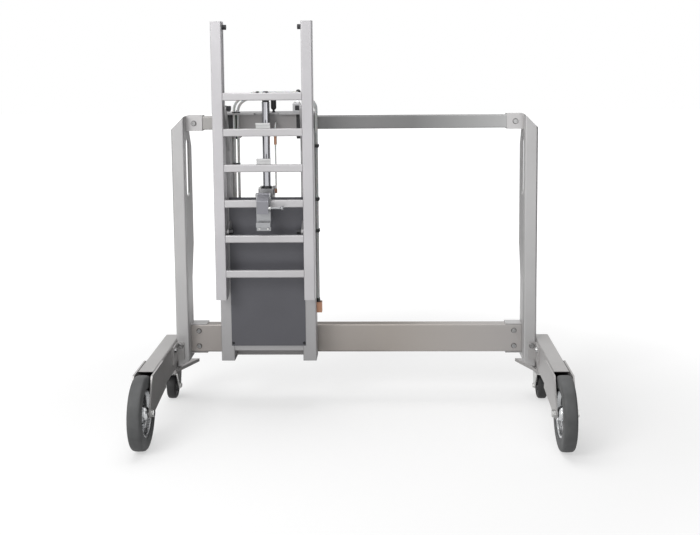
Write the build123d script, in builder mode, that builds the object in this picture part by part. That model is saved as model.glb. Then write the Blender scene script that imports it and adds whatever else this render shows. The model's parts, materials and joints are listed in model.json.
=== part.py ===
"""Drum depalletizer: a wheeled portal with a sliding air-lift mast and a rim gripper.

Millimetres. +X is the viewer's right, -Y the drum side, +Y the operator's side, +Z up from the floor.
"""

import os

from build123d import *

# fits
RUN_GAP = 0.05       # radial gap of a pin or shaft in its bore
SLIDE_GAP = 0.3      # gap between pieces that slide or roll on each other
BOLT_GAP = 0.3       # radial gap of a bolt in its hole

# posts: folded channels, open to the rear
POST_INNER = 641.0   # inner face from the middle
POST_WIDTH = 50.0
POST_SHEET = 6.0
POST_FRONT = 232.0
POST_FOOT = 140.0    # lowest point, on the outer side
POST_OVER_BEAM = 4.0
FOOT_SLANT = 25.0    # rise of the foot towards the inner side
OUTER_WEB = 60.0
FOLD_RADIUS = 8.0
INNER_RETURN = 16.0  # folded edge that the grip plate is welded to
GRIP_REACH = 45.0    # how far the hand grip stands out behind the inner web
GRIP_LENGTH = 586.0  # from the underside of the top beam
GRIP_RISE = 130.0    # height of the grip's lower slope
GRIP_FALL = 71.0     # height of its upper slope
GRIP_ROUND = 30.0
SLOT_WIDTH = 56.0
SLOT_HEIGHT = 222.0
SLOT_BELOW_BEAM = 34.0
SLOT_ROUND = 24.0
SLOT_EDGE = 60.0     # from the grip's rear edge to the slot

# beams and their sockets
BEAM_FRONT = 282.0
BEAM_DEPTH = 50.0
BEAM_WALL = 3.0
BEAM_CORNER = 4.5
TOP_BEAM_LOW = 1056.0
TOP_BEAM_TALL = 50.0
LOW_BEAM_LOW = 187.0
LOW_BEAM_TALL = 108.0
WEB_BEHIND_BEAM = 5.0
SOCKET_LENGTH = 62.0
SOCKET_WALL = 4.0
SOCKET_GAP = 0.25
SOCKET_BOLT_X = 30.0   # bolt from the post's inner face
SOCKET_BOLT_PITCH = 60.0

# legs
LEG_WIDTH = 58.0
LEG_LOW = 138.0
LEG_TALL = 109.0
LEG_WALL = 4.0
LEG_CORNER = 6.0
LEG_REAR = 316.0
LEG_ARC = 145.0      # hollow cut round the front wheel
CASTER_PLATE = 12.0
PLATE_FRONT = 205.0
PLATE_REAR = 360.0
PLATE_REACH = 65.0   # how far the plate runs in under the post
ANGLE_SHEET = 6.0
ANGLE_POST_FLANGE = 30.0
ANGLE_LEG_FLANGE = 82.0
ANGLE_LOW = 172.0
ANGLE_TALL = 68.0
ANGLE_BOLT_UP = 54.0
ANGLE_BOLT_AHEAD = 61.5  # leg bolt in front of the post

# front wheels and their forks
AXLE_Y = -255.0
WHEEL_R = 127.0
TYRE_WIDTH = 46.0
TYRE_SHOULDER = 8.0
RIM_R = 82.0
RIM_WIDTH = 40.0
RIM_LIP = 8.0
DISC_THICK = 10.0
HUB_R = 24.0
HUB_WIDTH = 52.0
AXLE_R = 8.0
AXLE_NUT_R = 13.0
AXLE_NUT = 11.0
FORK_SHEET = 6.0
FORK_BOSS = 18.0
FORK_TOP_FRONT = -222.0
FORK_TOP_REAR = -39.0
FORK_LOW_REAR = -6.0

# casters
KING_Y = 262.0
KING_R = 6.0
MOUNT_DEPTH = 96.0
MOUNT_WIDTH = 62.0
MOUNT_PLATE = 5.0
MOUNT_BOLT_EDGE = 8.0
RACE_R = 28.0
RACE_TALL = 5.0
SWIVEL_R = 30.0
SWIVEL_TALL = 7.7
CASTER_TRAIL = 30.0
CASTER_R = 50.0
CASTER_WIDTH = 36.0
CASTER_HUB_WIDTH = 44.0
CASTER_AXLE_R = 5.0
CHEEK_INNER = 24.0
CHEEK_SHEET = 5.0
CHEEK_BOSS = 12.0
BRIDGE_AHEAD = 24.0  # fork bridge in front of the king pin
BRIDGE_CLEAR = 2.0   # and short of the pedal's hub
KING_IN_PLATE = 4.0
CASTER_CHAMFER = 7.0
PEDAL_BACK = 20.0    # pedal pivot behind the caster axle
PEDAL_UP = 54.0      # and above it
PEDAL_HUB_R = 5.0
PEDAL_PIN_R = 3.0
PEDAL_LENGTH = 52.0
PEDAL_RISE = 4.0
PEDAL_SHEET = 5.0
PEDAL_WIDTH = 44.0

# bolts
M10_R = 5.0
M10_HEAD_R = 11.0
M10_HEAD = 7.0
M10_NUT_R = 9.0
M10_NUT = 8.0
M8_R = 4.0
M8_HEAD_R = 7.0
M8_HEAD = 5.0
M6_R = 3.0
M6_HEAD_R = 5.5
M6_HEAD = 4.0
HEAD_SLOPE = 25.0    # degrees, side of a button head
KEY_SHARE = 0.35     # hexagon socket, as a share of the head's radius
KEY_DEPTH_SHARE = 0.5

# carriage and mast
MAST_X = -326.0      # where the mast stands along the beams at rest
MAST_HALF = 180.0
MAST_TUBE = 50.0
MAST_CORNER = 3.0
MAST_BELOW_BEAM = 6.0  # top of the uprights under the top beam
MAST_DEPTH = 80.0
MAST_WALL = 4.0
MAST_LOW = 186.0
CROSS_SHEET = 8.0
UPPER_CROSS_TALL = 80.0
LOWER_CROSS_TALL = 119.0
TOP_SHEET = 6.0
TOP_PLATE_FRONT = 214.0
NOTCH_HALF = 45.0    # room for the rod bracket in the top plate
NOTCH_DEPTH = 18.0
NOTCH_ROUND = 4.0
BLOCK_EDGE = 6.0     # slide blocks, in from the mast's sides
BLOCK_WIDTH = 64.0
BLOCK_OVER = 9.7     # block over the top beam
PAD_THICK = 27.7     # between the cross plates and the beams
BLOCK_REAR = 12.7    # block behind and under the top beam
BLOCK_UNDER = 33.0
BLOCK_SCREW_EDGE = 15.0
BLOCK_SCREW_DEPTH = 20.0
PAD_LOW = 196.0
PAD_TALL = 90.0
FOOT_LOW = 225.0
FOOT_TALL = 20.0
COVER_LAP = 10.0     # cover over the front of each upright
COVER_SHEET = 3.0
COVER_TALL = 566.0
COVER_SCREW_EDGE = 5.5
COVER_SCREW_END = 10.0
COVER_NOTCH = 1.0    # room in the cover round each lower lug

# guide rollers, carried by lugs on the mast
ROLLER_Y = 110.0
UPPER_ROLLER_UP = 30.0   # above the mast's top
ROLLER_PITCH = 456.0
ROLLER_R = 25.7
ROLLER_WIDTH = 26.0
ROLLER_CHAMFER = 2.5
ROLLER_SIDE_GAP = 3.0
ROLLER_AXLE_R = 6.0
ROLLER_NUT_R = 10.0
ROLLER_NUT = 16.0
ROLLER_HEAD_R = 10.0
ROLLER_HEAD = 2.0
LUG_SHEET = 8.0
LUG_GAP = 1.5        # between a lug and its lift rail
LUG_HALF = 11.0      # lug round the axle
LUG_ROOT = 66.0      # length of the lug's weld on the mast

# air cylinder
CYL_Y = 200.0
CYL_BASE = 64.0
CYL_BASE_TALL = 30.0
BARREL_R = 28.0
BARREL_BORE = 25.0
BARREL_TALL = 544.0
CYL_HEAD = 60.0
CYL_HEAD_TALL = 23.0
CYL_CHAMFER = 4.0
TIE_R = 4.0
TIE_OFFSET = 24.0
TIE_NUT_R = 5.5
TIE_NUT = 5.0
ROD_R = 15.0
PISTON_TALL = 30.0
PISTON_LOW = 570.0
STUD_R = 8.0

# air line
HOSE_R = 5.0
HOSE_Y = 236.0
HOSE_INSET = (6.0, 21.0)          # the two risers, in from the left upright
HOSE_RISE = (76.0, 62.0)          # top run over the top plate
HOSE_SHOULDER = (41.0, 38.0)
HOSE_TURN_LEFT = (75.0, 66.0)     # from a riser to the top run
HOSE_TURN_RIGHT = 75.0
HOSE_DOWN_Y = (236.0, 222.0)
HOSE_BEND = 48.0
HOSE_OFF_TUBE = 1.0
GROMMET_WALL = 2.0
GROMMET_FLANGE = 1.3
GROMMET_TALL = 4.0
CLIP_HEIGHTS = (997.0, 795.0, 675.0)
CLIP_TALL = 12.0
CLIP_WALL = 3.0
FITTING_LOW = 270.0
FITTING_TALL = 30.0
FITTING_REACH = 20.0
INLET_LOW = 360.0
INLET_TALL = 40.0
PORT_R = 5.9
PORT_DEPTH = 14.0
INLET_PAST_HOSE = 9.0
ELBOW_SIZE = 8.0
ELBOW_UP = 3.0
ELBOW_TALL = 16.0
HEAD_TUBE_R = 3.0
HEAD_TUBE_DROP = 32.0   # its end, below the mast's top
FERRULE_R = 5.5
FERRULE_LOW = 1005.0
FERRULE_TALL = 40.0
HEAD_TUBE_BEND = 30.0
SILENCER_OFFSET = 23.0
SILENCER_Y = 262.0
SILENCER_R = 10.5
SILENCER_TALL = 46.0
SILENCER_FOOT_R = 7.0
SILENCER_NECK_R = 3.5
SILENCER_NECK = 9.0

# hand valve on the top plate
VALVE_INSET = 70.0   # lever, in from the mast's right side
VALVE_WIDTH = 26.0
VALVE_FRONT = 240.0
VALVE_DEPTH = 60.0
VALVE_TALL = 36.0
VALVE_CHAMFER = 3.0
VALVE_EAR = 5.0
VALVE_PIN_R = 4.0
VALVE_PIN_BACK = 9.0
VALVE_PIN_UP = 24.0
LEVER_WIDTH = 10.0
LEVER_BOSS = 7.0
LEVER_REACH = 42.0
LEVER_RISE = 49.0
LEVER_R = 4.0
KNOB_R = 10.0

# lift frame
RAIL_INSET = 37.0    # inner face of a rail, in from the mast's side
RAIL_WIDTH = 40.0
RAIL_WALL = 4.0
RAIL_LOW = 440.0
RAIL_TALL = 1020.0
RAIL_SLOT = 14.0
RUNG_DEPTH = 16.0
RUNG_TALL = 28.0
RUNG_WALL = 3.0
RUNG_CORNER = 4.0
RUNG_LOWEST = 537.0
RUNG_PITCH = 130.4
RUNG_COUNT = 6
SEAT_WIDTH = 52.0
SEAT_SHEET = 6.0
SEAT_RISE = 20.0
SEAT_LIP = 10.0
STOP_BELOW_TOP = 21.0
STOP_R = 5.0
STOP_NUT_R = 10.5
STOP_NUT = 14.0
STOP_HEAD = 2.5
ROD_BRACKET_HALF = 26.0
ROD_BRACKET_TALL = 12.0
ROD_BRACKET_DROP = 13.0  # its underside, below the top rung's middle
ROD_BRACKET_PAST = 22.0
ROD_BRACKET_ROUND = 10.0
BRACKET_BOLT_X = 17.0
ROD_NUT_R = 13.0
ROD_NUT = 12.0
STUD_PAST = 4.0

# rim gripper
JAW_HALF = 21.0
GRIPPER_SHEET = 6.0
GRIPPER_FRONT_SHEET = 14.0
GRIPPER_DROP = 83.0  # front plate below the rung
EAR_SHEET = 4.0
EAR_GAP = 0.8
EAR_BOSS = 9.0
JAW_PIN_R = 4.0
JAW_PIN_AHEAD = 2.0  # pin in front of the rung's face
JAW_PIN_UP = 13.0    # and above the gripper's crown
JAW_PIN_HEAD = 3.0
JAW_PIN_HEAD_R = 7.0
JAW_BOSS = 8.0
JAW_BROW_DROP = 19.0
JAW_FACE_TALL = 46.0
JAW_TIP = 10.0
JAW_SLANT = 4.0
JAW_ROUND = 4.0
RIM_GAP = 16.0       # between the jaw's tip and the front plate
SHELF_UP = 15.0
SHELF_TALL = 12.0
SHELF_REACH = 18.0
SHELF_LIP = 6.0
HANDLE_DROP = 25.0   # below the jaw's brow
HANDLE_R = 4.0
HANDLE_LENGTH = 49.0
HANDLE_BALL = 8.0

# places that follow from the sizes
POST_OUTER = POST_INNER + POST_WIDTH
BEAM_REAR = BEAM_FRONT + BEAM_DEPTH
BEAM_HALF = POST_INNER - SLIDE_GAP
TOP_BEAM_TOP = TOP_BEAM_LOW + TOP_BEAM_TALL
POST_TOP = TOP_BEAM_TOP + POST_OVER_BEAM
GRIP_HIGH = TOP_BEAM_LOW
GRIP_LOW = GRIP_HIGH - GRIP_LENGTH
SLOT_MID = GRIP_HIGH - SLOT_BELOW_BEAM - SLOT_HEIGHT / 2
WEB_REAR = BEAM_REAR + WEB_BEHIND_BEAM
GRIP_REAR = WEB_REAR + GRIP_REACH
LEG_INNER = POST_OUTER
LEG_OUTER = LEG_INNER + LEG_WIDTH
LEG_MID = LEG_INNER + LEG_WIDTH / 2
LEG_TOP = LEG_LOW + LEG_TALL
ANGLE_POST_BOLT = POST_OUTER - (ANGLE_POST_FLANGE + ANGLE_SHEET) / 2
ANGLE_LEG_BOLT = POST_FRONT - ANGLE_BOLT_AHEAD
ANGLE_BOLT_Z = ANGLE_LOW + ANGLE_BOLT_UP
AXLE_Z = WHEEL_R
FORK_INNER = LEG_INNER - FORK_SHEET
FORK_OUTER = LEG_OUTER + FORK_SHEET
KING_X = LEG_MID
MOUNT_TOP = LEG_LOW - CASTER_PLATE
RACE_LOW = MOUNT_TOP - MOUNT_PLATE - RACE_TALL
SWIVEL_TOP = RACE_LOW - SLIDE_GAP
SWIVEL_LOW = SWIVEL_TOP - SWIVEL_TALL
CASTER_Y = KING_Y + CASTER_TRAIL
CASTER_Z = CASTER_R
PEDAL_Y = CASTER_Y + PEDAL_BACK
PEDAL_Z = CASTER_Z + PEDAL_UP
CHEEK_OUTER = CHEEK_INNER + CHEEK_SHEET


def facing_middle(x):
    """Plane square to X that looks towards the machine's middle; its own axes are -Y and Z."""
    return Plane(origin=(x, 0, 0), x_dir=(0, -1, 0), z_dir=(-1, 0, 0))


def facing_front(y):
    """Plane square to Y that looks towards the drum; its own axes are X and Z."""
    return Plane.XZ.offset(-y)


def facing_floor(z):
    """Level plane that looks down; its own axes are X and -Y."""
    return Plane(origin=(0, 0, z), x_dir=(1, 0, 0), z_dir=(0, 0, -1))


def save(piece, name):
    """Label a finished piece and write it to its own file."""
    piece.part.label = name
    export_step(piece.part, f"parts/{name}.step")


def block(x, y, z, mode=Mode.ADD):
    """Straight block between a low and a high limit on each axis."""
    with BuildSketch(Plane.XY.offset(z[0])) as face:
        with Locations(((x[0] + x[1]) / 2, (y[0] + y[1]) / 2)):
            Rectangle(x[1] - x[0], y[1] - y[0])
    extrude(face.sketch, amount=z[1] - z[0], mode=mode)


def plate(plane, outline, thickness, mode=Mode.ADD):
    """Straight-sided plate drawn on a plane."""
    with BuildSketch(plane) as face:
        with BuildLine():
            Polyline(*outline, close=True)
        make_face()
    extrude(face.sketch, amount=thickness, mode=mode)


def rod(plane, centre, radius, length, mode=Mode.ADD):
    """Round bar that starts on a plane."""
    with BuildSketch(plane) as face:
        with Locations(centre):
            Circle(radius)
    extrude(face.sketch, amount=length, mode=mode)


def hexagon(plane, centre, radius, length, mode=Mode.ADD):
    """Hexagonal bar that starts on a plane."""
    with BuildSketch(plane) as face:
        with Locations(centre):
            RegularPolygon(radius, 6)
    extrude(face.sketch, amount=length, mode=mode)


def box_tube(plane, centre, size, wall, corner, length):
    """Rectangular hollow section with rolled corners."""
    with BuildSketch(plane) as face:
        with Locations(centre):
            RectangleRounded(size[0], size[1], corner)
            RectangleRounded(size[0] - 2 * wall, size[1] - 2 * wall, wall / 2, mode=Mode.SUBTRACT)
    extrude(face.sketch, amount=length)


def hulled_plate(plane, bosses, corners, thickness):
    """Plate whose outline wraps round bosses (place, radius) and straight corners."""
    with BuildSketch(plane) as face:
        for place, radius in bosses:
            with Locations(place):
                Circle(radius)
        with BuildLine():
            Polyline(*corners)
        make_hull()
    extrude(face.sketch, amount=thickness)


def screw(plane, centre, radius, head_r, head, shank):
    """Button-head screw with a hexagon socket, seated on a plane."""
    with BuildSketch(plane) as face:
        with Locations(centre):
            Circle(head_r)
    extrude(face.sketch, amount=head, taper=HEAD_SLOPE)
    rod(plane, centre, radius, -shank)
    hexagon(plane.offset(head), centre, head_r * KEY_SHARE, -head * KEY_DEPTH_SHARE, Mode.SUBTRACT)


def bolt(plane, centre, grip):
    """M10 button-head bolt through a grip, with its nut behind."""
    screw(plane, centre, M10_R, M10_HEAD_R, M10_HEAD, grip + M10_NUT)
    hexagon(plane.offset(-grip), centre, M10_NUT_R, -M10_NUT)


os.makedirs("parts", exist_ok=True)

# portal frame
SEAM_Y = POST_FRONT + INNER_RETURN


def trim_post_ends():
    """Cut a post piece to the slanted foot and the slanted top."""
    foot = [(POST_INNER, POST_FOOT), (POST_OUTER, POST_FOOT), (POST_INNER, POST_FOOT + FOOT_SLANT)]
    top = [(POST_INNER, POST_TOP), (POST_OUTER, POST_TOP), (POST_OUTER, POST_TOP - POST_WIDTH)]
    for waste in (foot, top):
        plate(facing_front(POST_FRONT), waste, POST_FRONT - GRIP_REAR, Mode.SUBTRACT)


with BuildPart() as right_post:
    with BuildSketch(Plane.XY.offset(POST_FOOT)):
        with BuildLine():
            Polyline(
                (POST_INNER, POST_FRONT),
                (POST_OUTER, POST_FRONT),
                (POST_OUTER, POST_FRONT + OUTER_WEB),
                (POST_OUTER - POST_SHEET, POST_FRONT + OUTER_WEB),
                (POST_OUTER - POST_SHEET, POST_FRONT + POST_SHEET),
                (POST_INNER + POST_SHEET, POST_FRONT + POST_SHEET),
                (POST_INNER + POST_SHEET, SEAM_Y),
                (POST_INNER, SEAM_Y),
                close=True,
            )
        make_face()
    extrude(amount=POST_TOP - POST_FOOT)
    inside = POST_FRONT + POST_SHEET
    upright_edges = right_post.edges().filter_by(Axis.Z)
    fillet(upright_edges.filter_by_position(Axis.Y, inside - RUN_GAP, inside + RUN_GAP),
           FOLD_RADIUS - POST_SHEET)
    fillet(right_post.edges().filter_by(Axis.Z).group_by(Axis.Y)[0], FOLD_RADIUS)
    trim_post_ends()
    rod(facing_front(POST_FRONT), (ANGLE_POST_BOLT, ANGLE_BOLT_Z), M10_R + BOLT_GAP, -POST_SHEET,
        Mode.SUBTRACT)

with BuildPart() as right_grip_plate:
    with BuildSketch(Plane.YZ.offset(POST_INNER)) as grip:
        with BuildLine():
            Polyline(
                (SEAM_Y, POST_FOOT),
                (WEB_REAR, POST_FOOT),
                (WEB_REAR, GRIP_LOW),
                (GRIP_REAR, GRIP_LOW + GRIP_RISE),
                (GRIP_REAR, GRIP_HIGH - GRIP_FALL),
                (WEB_REAR, GRIP_HIGH),
                (WEB_REAR, POST_TOP),
                (SEAM_Y, POST_TOP),
                close=True,
            )
        make_face()
        fillet(grip.vertices().group_by(Axis.X)[-1], GRIP_ROUND)
        with Locations((GRIP_REAR - SLOT_EDGE - SLOT_WIDTH / 2, SLOT_MID)):
            RectangleRounded(SLOT_WIDTH, SLOT_HEIGHT, SLOT_ROUND, mode=Mode.SUBTRACT)
    extrude(amount=POST_SHEET)
    trim_post_ends()

for piece, piece_name in ((right_post, "post"), (right_grip_plate, "grip_plate")):
    save(piece, f"right_{piece_name}")
    with BuildPart() as other_side:
        mirror(piece.part, about=Plane.YZ)
    save(other_side, f"left_{piece_name}")

TOP_BOLT_HEIGHTS = (TOP_BEAM_LOW + TOP_BEAM_TALL / 2,)
LOW_BOLT_HEIGHTS = (
    LOW_BEAM_LOW + (LOW_BEAM_TALL - SOCKET_BOLT_PITCH) / 2,
    LOW_BEAM_LOW + (LOW_BEAM_TALL + SOCKET_BOLT_PITCH) / 2,
)
SOCKET_FRONT = BEAM_FRONT - SOCKET_GAP - SOCKET_WALL
SOCKET_REAR = BEAM_REAR + SOCKET_GAP + SOCKET_WALL
SOCKET_BOLT = POST_INNER - SOCKET_BOLT_X
BEAMS = {
    "top_beam": (TOP_BEAM_LOW, TOP_BEAM_TALL, TOP_BOLT_HEIGHTS, BEAM_WALL),
    "bottom_beam": (LOW_BEAM_LOW, LOW_BEAM_TALL, LOW_BOLT_HEIGHTS, BEAM_DEPTH),
}
for beam_name, (low, tall, bolt_heights, drilled) in BEAMS.items():
    with BuildPart() as beam:
        box_tube(Plane.YZ.offset(-BEAM_HALF), (BEAM_FRONT + BEAM_DEPTH / 2, low + tall / 2),
                 (BEAM_DEPTH, tall), BEAM_WALL, BEAM_CORNER, 2 * BEAM_HALF)
        for height in bolt_heights:
            for x in (-SOCKET_BOLT, SOCKET_BOLT):
                rod(facing_front(BEAM_FRONT), (x, height), M10_R + BOLT_GAP, -drilled, Mode.SUBTRACT)
    save(beam, beam_name)

with BuildPart() as beam_sockets:
    for low, tall, bolt_heights, drilled in BEAMS.values():
        grow = 2 * (SOCKET_GAP + SOCKET_WALL)
        with BuildSketch(Plane.YZ.offset(POST_INNER - SOCKET_LENGTH)):
            with Locations((BEAM_FRONT + BEAM_DEPTH / 2, low + tall / 2)):
                Rectangle(BEAM_DEPTH + grow, tall + grow)
                Rectangle(BEAM_DEPTH + 2 * SOCKET_GAP, tall + 2 * SOCKET_GAP, mode=Mode.SUBTRACT)
        extrude(amount=SOCKET_LENGTH)
    block((POST_INNER - SOCKET_LENGTH, POST_INNER), (SOCKET_FRONT, BEAM_FRONT),
          (LOW_BEAM_LOW - grow, LOW_BEAM_LOW + LOW_BEAM_TALL + grow), Mode.SUBTRACT)
    for height in TOP_BOLT_HEIGHTS:
        rod(facing_front(SOCKET_FRONT), (SOCKET_BOLT, height), M10_R + BOLT_GAP, -SOCKET_WALL, Mode.SUBTRACT)
    for height in LOW_BOLT_HEIGHTS:
        rod(facing_front(SOCKET_REAR), (SOCKET_BOLT, height), M10_R + BOLT_GAP, SOCKET_WALL, Mode.SUBTRACT)
    mirror(about=Plane.YZ)
save(beam_sockets, "beam_sockets")

with BuildPart() as right_leg:
    box_tube(facing_front(LEG_REAR), (LEG_MID, LEG_LOW + LEG_TALL / 2), (LEG_WIDTH, LEG_TALL),
             LEG_WALL, LEG_CORNER, LEG_REAR - AXLE_Y)
    block((LEG_INNER + LEG_WALL, LEG_OUTER - LEG_WALL), (LEG_REAR - LEG_WALL, LEG_REAR),
          (LEG_LOW + LEG_WALL, LEG_TOP - LEG_WALL))
    rod(Plane.YZ.offset(LEG_INNER), (AXLE_Y, AXLE_Z), LEG_ARC, LEG_WIDTH, Mode.SUBTRACT)
    rod(Plane.YZ.offset(LEG_INNER), (ANGLE_LEG_BOLT, ANGLE_BOLT_Z), M10_R + BOLT_GAP, LEG_WALL,
        Mode.SUBTRACT)
save(right_leg, "right_leg")

with BuildPart() as left_leg:
    mirror(right_leg.part, about=Plane.YZ)
save(left_leg, "left_leg")

with BuildPart() as wheel_forks:
    for x in (FORK_INNER, LEG_OUTER):
        hulled_plate(
            Plane.YZ.offset(x),
            [((AXLE_Y, AXLE_Z), FORK_BOSS)],
            [(FORK_TOP_FRONT, LEG_TOP), (FORK_TOP_REAR, LEG_TOP), (FORK_LOW_REAR, LEG_LOW)],
            FORK_SHEET,
        )
        rod(Plane.YZ.offset(x), (AXLE_Y, AXLE_Z), AXLE_R + RUN_GAP, FORK_SHEET, Mode.SUBTRACT)
    mirror(about=Plane.YZ)
save(wheel_forks, "wheel_forks")

# angles that brace the posts, and the foot plates welded under the legs
CASTER_BOLTS = [
    (
        KING_X + side * (MOUNT_WIDTH / 2 - MOUNT_BOLT_EDGE),
        KING_Y + end * (MOUNT_DEPTH / 2 - MOUNT_BOLT_EDGE),
    )
    for side in (-1, 1)
    for end in (-1, 1)
]
with BuildPart() as leg_angles:
    plate(
        Plane.XY.offset(ANGLE_LOW),
        [
            (POST_OUTER, POST_FRONT),
            (POST_OUTER - ANGLE_POST_FLANGE, POST_FRONT),
            (POST_OUTER - ANGLE_POST_FLANGE, POST_FRONT - ANGLE_SHEET),
            (POST_OUTER - ANGLE_SHEET, POST_FRONT - ANGLE_SHEET),
            (POST_OUTER - ANGLE_SHEET, POST_FRONT - ANGLE_LEG_FLANGE),
            (POST_OUTER, POST_FRONT - ANGLE_LEG_FLANGE),
        ],
        ANGLE_TALL,
    )
    rod(facing_front(POST_FRONT), (ANGLE_POST_BOLT, ANGLE_BOLT_Z), M10_R + BOLT_GAP, ANGLE_SHEET,
        Mode.SUBTRACT)
    rod(facing_middle(POST_OUTER), (-ANGLE_LEG_BOLT, ANGLE_BOLT_Z), M10_R + BOLT_GAP, ANGLE_SHEET,
        Mode.SUBTRACT)
    plate(
        Plane.XY.offset(MOUNT_TOP),
        [
            (LEG_OUTER, PLATE_FRONT),
            (LEG_INNER, PLATE_FRONT),
            (LEG_INNER - PLATE_REACH, PLATE_REAR),
            (LEG_OUTER, PLATE_REAR),
        ],
        CASTER_PLATE,
    )
    for place in CASTER_BOLTS:
        rod(Plane.XY.offset(MOUNT_TOP), place, M8_R + BOLT_GAP, CASTER_PLATE, Mode.SUBTRACT)
    mirror(about=Plane.YZ)
save(leg_angles, "leg_angles")

with BuildPart() as frame_bolts:
    for height in TOP_BOLT_HEIGHTS:
        bolt(facing_front(SOCKET_FRONT), (SOCKET_BOLT, height), SOCKET_WALL + SOCKET_GAP + BEAM_WALL)
    for height in LOW_BOLT_HEIGHTS:
        bolt(facing_front(BEAM_FRONT), (SOCKET_BOLT, height), SOCKET_REAR - BEAM_FRONT)
    bolt(facing_front(POST_FRONT - ANGLE_SHEET), (ANGLE_POST_BOLT, ANGLE_BOLT_Z), ANGLE_SHEET + POST_SHEET)
    bolt(facing_middle(POST_OUTER - ANGLE_SHEET), (-ANGLE_LEG_BOLT, ANGLE_BOLT_Z), ANGLE_SHEET + LEG_WALL)
    for place in CASTER_BOLTS:
        screw(facing_floor(MOUNT_TOP - MOUNT_PLATE), (place[0], -place[1]), M8_R, M8_HEAD_R,
              M8_HEAD - SLIDE_GAP, MOUNT_PLATE + CASTER_PLATE)
    mirror(about=Plane.YZ)
save(frame_bolts, "frame_bolts")

with BuildPart() as caster_mounts:
    block((KING_X - MOUNT_WIDTH / 2, KING_X + MOUNT_WIDTH / 2),
          (KING_Y - MOUNT_DEPTH / 2, KING_Y + MOUNT_DEPTH / 2), (MOUNT_TOP - MOUNT_PLATE, MOUNT_TOP))
    rod(Plane.XY.offset(RACE_LOW), (KING_X, KING_Y), RACE_R, RACE_TALL)
    rod(Plane.XY.offset(RACE_LOW), (KING_X, KING_Y), KING_R + RUN_GAP, RACE_TALL + MOUNT_PLATE,
        Mode.SUBTRACT)
    for place in CASTER_BOLTS:
        rod(Plane.XY.offset(MOUNT_TOP - MOUNT_PLATE), place, M8_R + BOLT_GAP, MOUNT_PLATE, Mode.SUBTRACT)
    mirror(about=Plane.YZ)
save(caster_mounts, "caster_mounts")

with BuildPart() as front_axles:
    rod(Plane.YZ.offset(FORK_INNER - AXLE_NUT), (AXLE_Y, AXLE_Z), AXLE_R,
        FORK_OUTER - FORK_INNER + 2 * AXLE_NUT)
    for x in (FORK_INNER - AXLE_NUT, FORK_OUTER):
        hexagon(Plane.YZ.offset(x), (AXLE_Y, AXLE_Z), AXLE_NUT_R, AXLE_NUT)
    mirror(about=Plane.YZ)
save(front_axles, "front_axles")

# front wheels
WHEEL_AXIS = Axis((LEG_MID, AXLE_Y, AXLE_Z), (1, 0, 0))
with BuildPart() as right_tyre:
    with BuildSketch(facing_front(AXLE_Y)) as tread:
        with Locations((LEG_MID, AXLE_Z + (RIM_R + RUN_GAP + WHEEL_R) / 2)):
            Rectangle(TYRE_WIDTH, WHEEL_R - RIM_R - RUN_GAP)
        fillet(tread.vertices().group_by(Axis.Y)[-1], TYRE_SHOULDER)
    revolve(axis=WHEEL_AXIS)
save(right_tyre, "right_tyre")

with BuildPart() as right_rim:
    with BuildSketch(facing_front(AXLE_Y)):
        with Locations((LEG_MID, AXLE_Z + (AXLE_R + RUN_GAP + HUB_R) / 2)):
            Rectangle(HUB_WIDTH, HUB_R - AXLE_R - RUN_GAP)
        with Locations((LEG_MID, AXLE_Z + (HUB_R + RIM_R) / 2)):
            Rectangle(DISC_THICK, RIM_R - HUB_R)
        with Locations((LEG_MID, AXLE_Z + RIM_R - RIM_LIP / 2)):
            Rectangle(RIM_WIDTH, RIM_LIP)
    revolve(axis=WHEEL_AXIS)
save(right_rim, "right_rim")

for wheel_piece, wheel_name in ((right_tyre, "left_tyre"), (right_rim, "left_rim")):
    with BuildPart() as other_side:
        mirror(wheel_piece.part, about=Plane.YZ)
    save(other_side, wheel_name)

# swivel casters
BRIDGE_FRONT = KING_Y - BRIDGE_AHEAD
BRIDGE_REAR = PEDAL_Y - PEDAL_HUB_R - BRIDGE_CLEAR
with BuildPart() as right_caster_fork:
    rod(Plane.XY.offset(SWIVEL_LOW), (KING_X, KING_Y), SWIVEL_R, SWIVEL_TALL)
    rod(Plane.XY.offset(SWIVEL_TOP), (KING_X, KING_Y), KING_R, SLIDE_GAP + RACE_TALL + KING_IN_PLATE)
    block((KING_X - CHEEK_OUTER, KING_X + CHEEK_OUTER), (BRIDGE_FRONT, BRIDGE_REAR),
          (SWIVEL_LOW, SWIVEL_LOW + CHEEK_SHEET))
    for x in (KING_X - CHEEK_OUTER, KING_X + CHEEK_INNER):
        hulled_plate(
            Plane.YZ.offset(x),
            [((CASTER_Y, CASTER_Z), CHEEK_BOSS), ((PEDAL_Y, PEDAL_Z), PEDAL_HUB_R + PEDAL_PIN_R)],
            [(BRIDGE_FRONT, SWIVEL_LOW), (BRIDGE_FRONT, SWIVEL_LOW + CHEEK_SHEET),
             (BRIDGE_REAR, SWIVEL_LOW + CHEEK_SHEET)],
            CHEEK_SHEET,
        )
        rod(Plane.YZ.offset(x), (PEDAL_Y, PEDAL_Z), PEDAL_PIN_R + RUN_GAP, CHEEK_SHEET, Mode.SUBTRACT)
    rod(Plane.YZ.offset(KING_X - CHEEK_OUTER), (CASTER_Y, CASTER_Z), CASTER_AXLE_R, 2 * CHEEK_OUTER)
    for x in (KING_X - CHEEK_OUTER - M8_HEAD, KING_X + CHEEK_OUTER):
        hexagon(Plane.YZ.offset(x), (CASTER_Y, CASTER_Z), M10_NUT_R, M8_HEAD)

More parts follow.
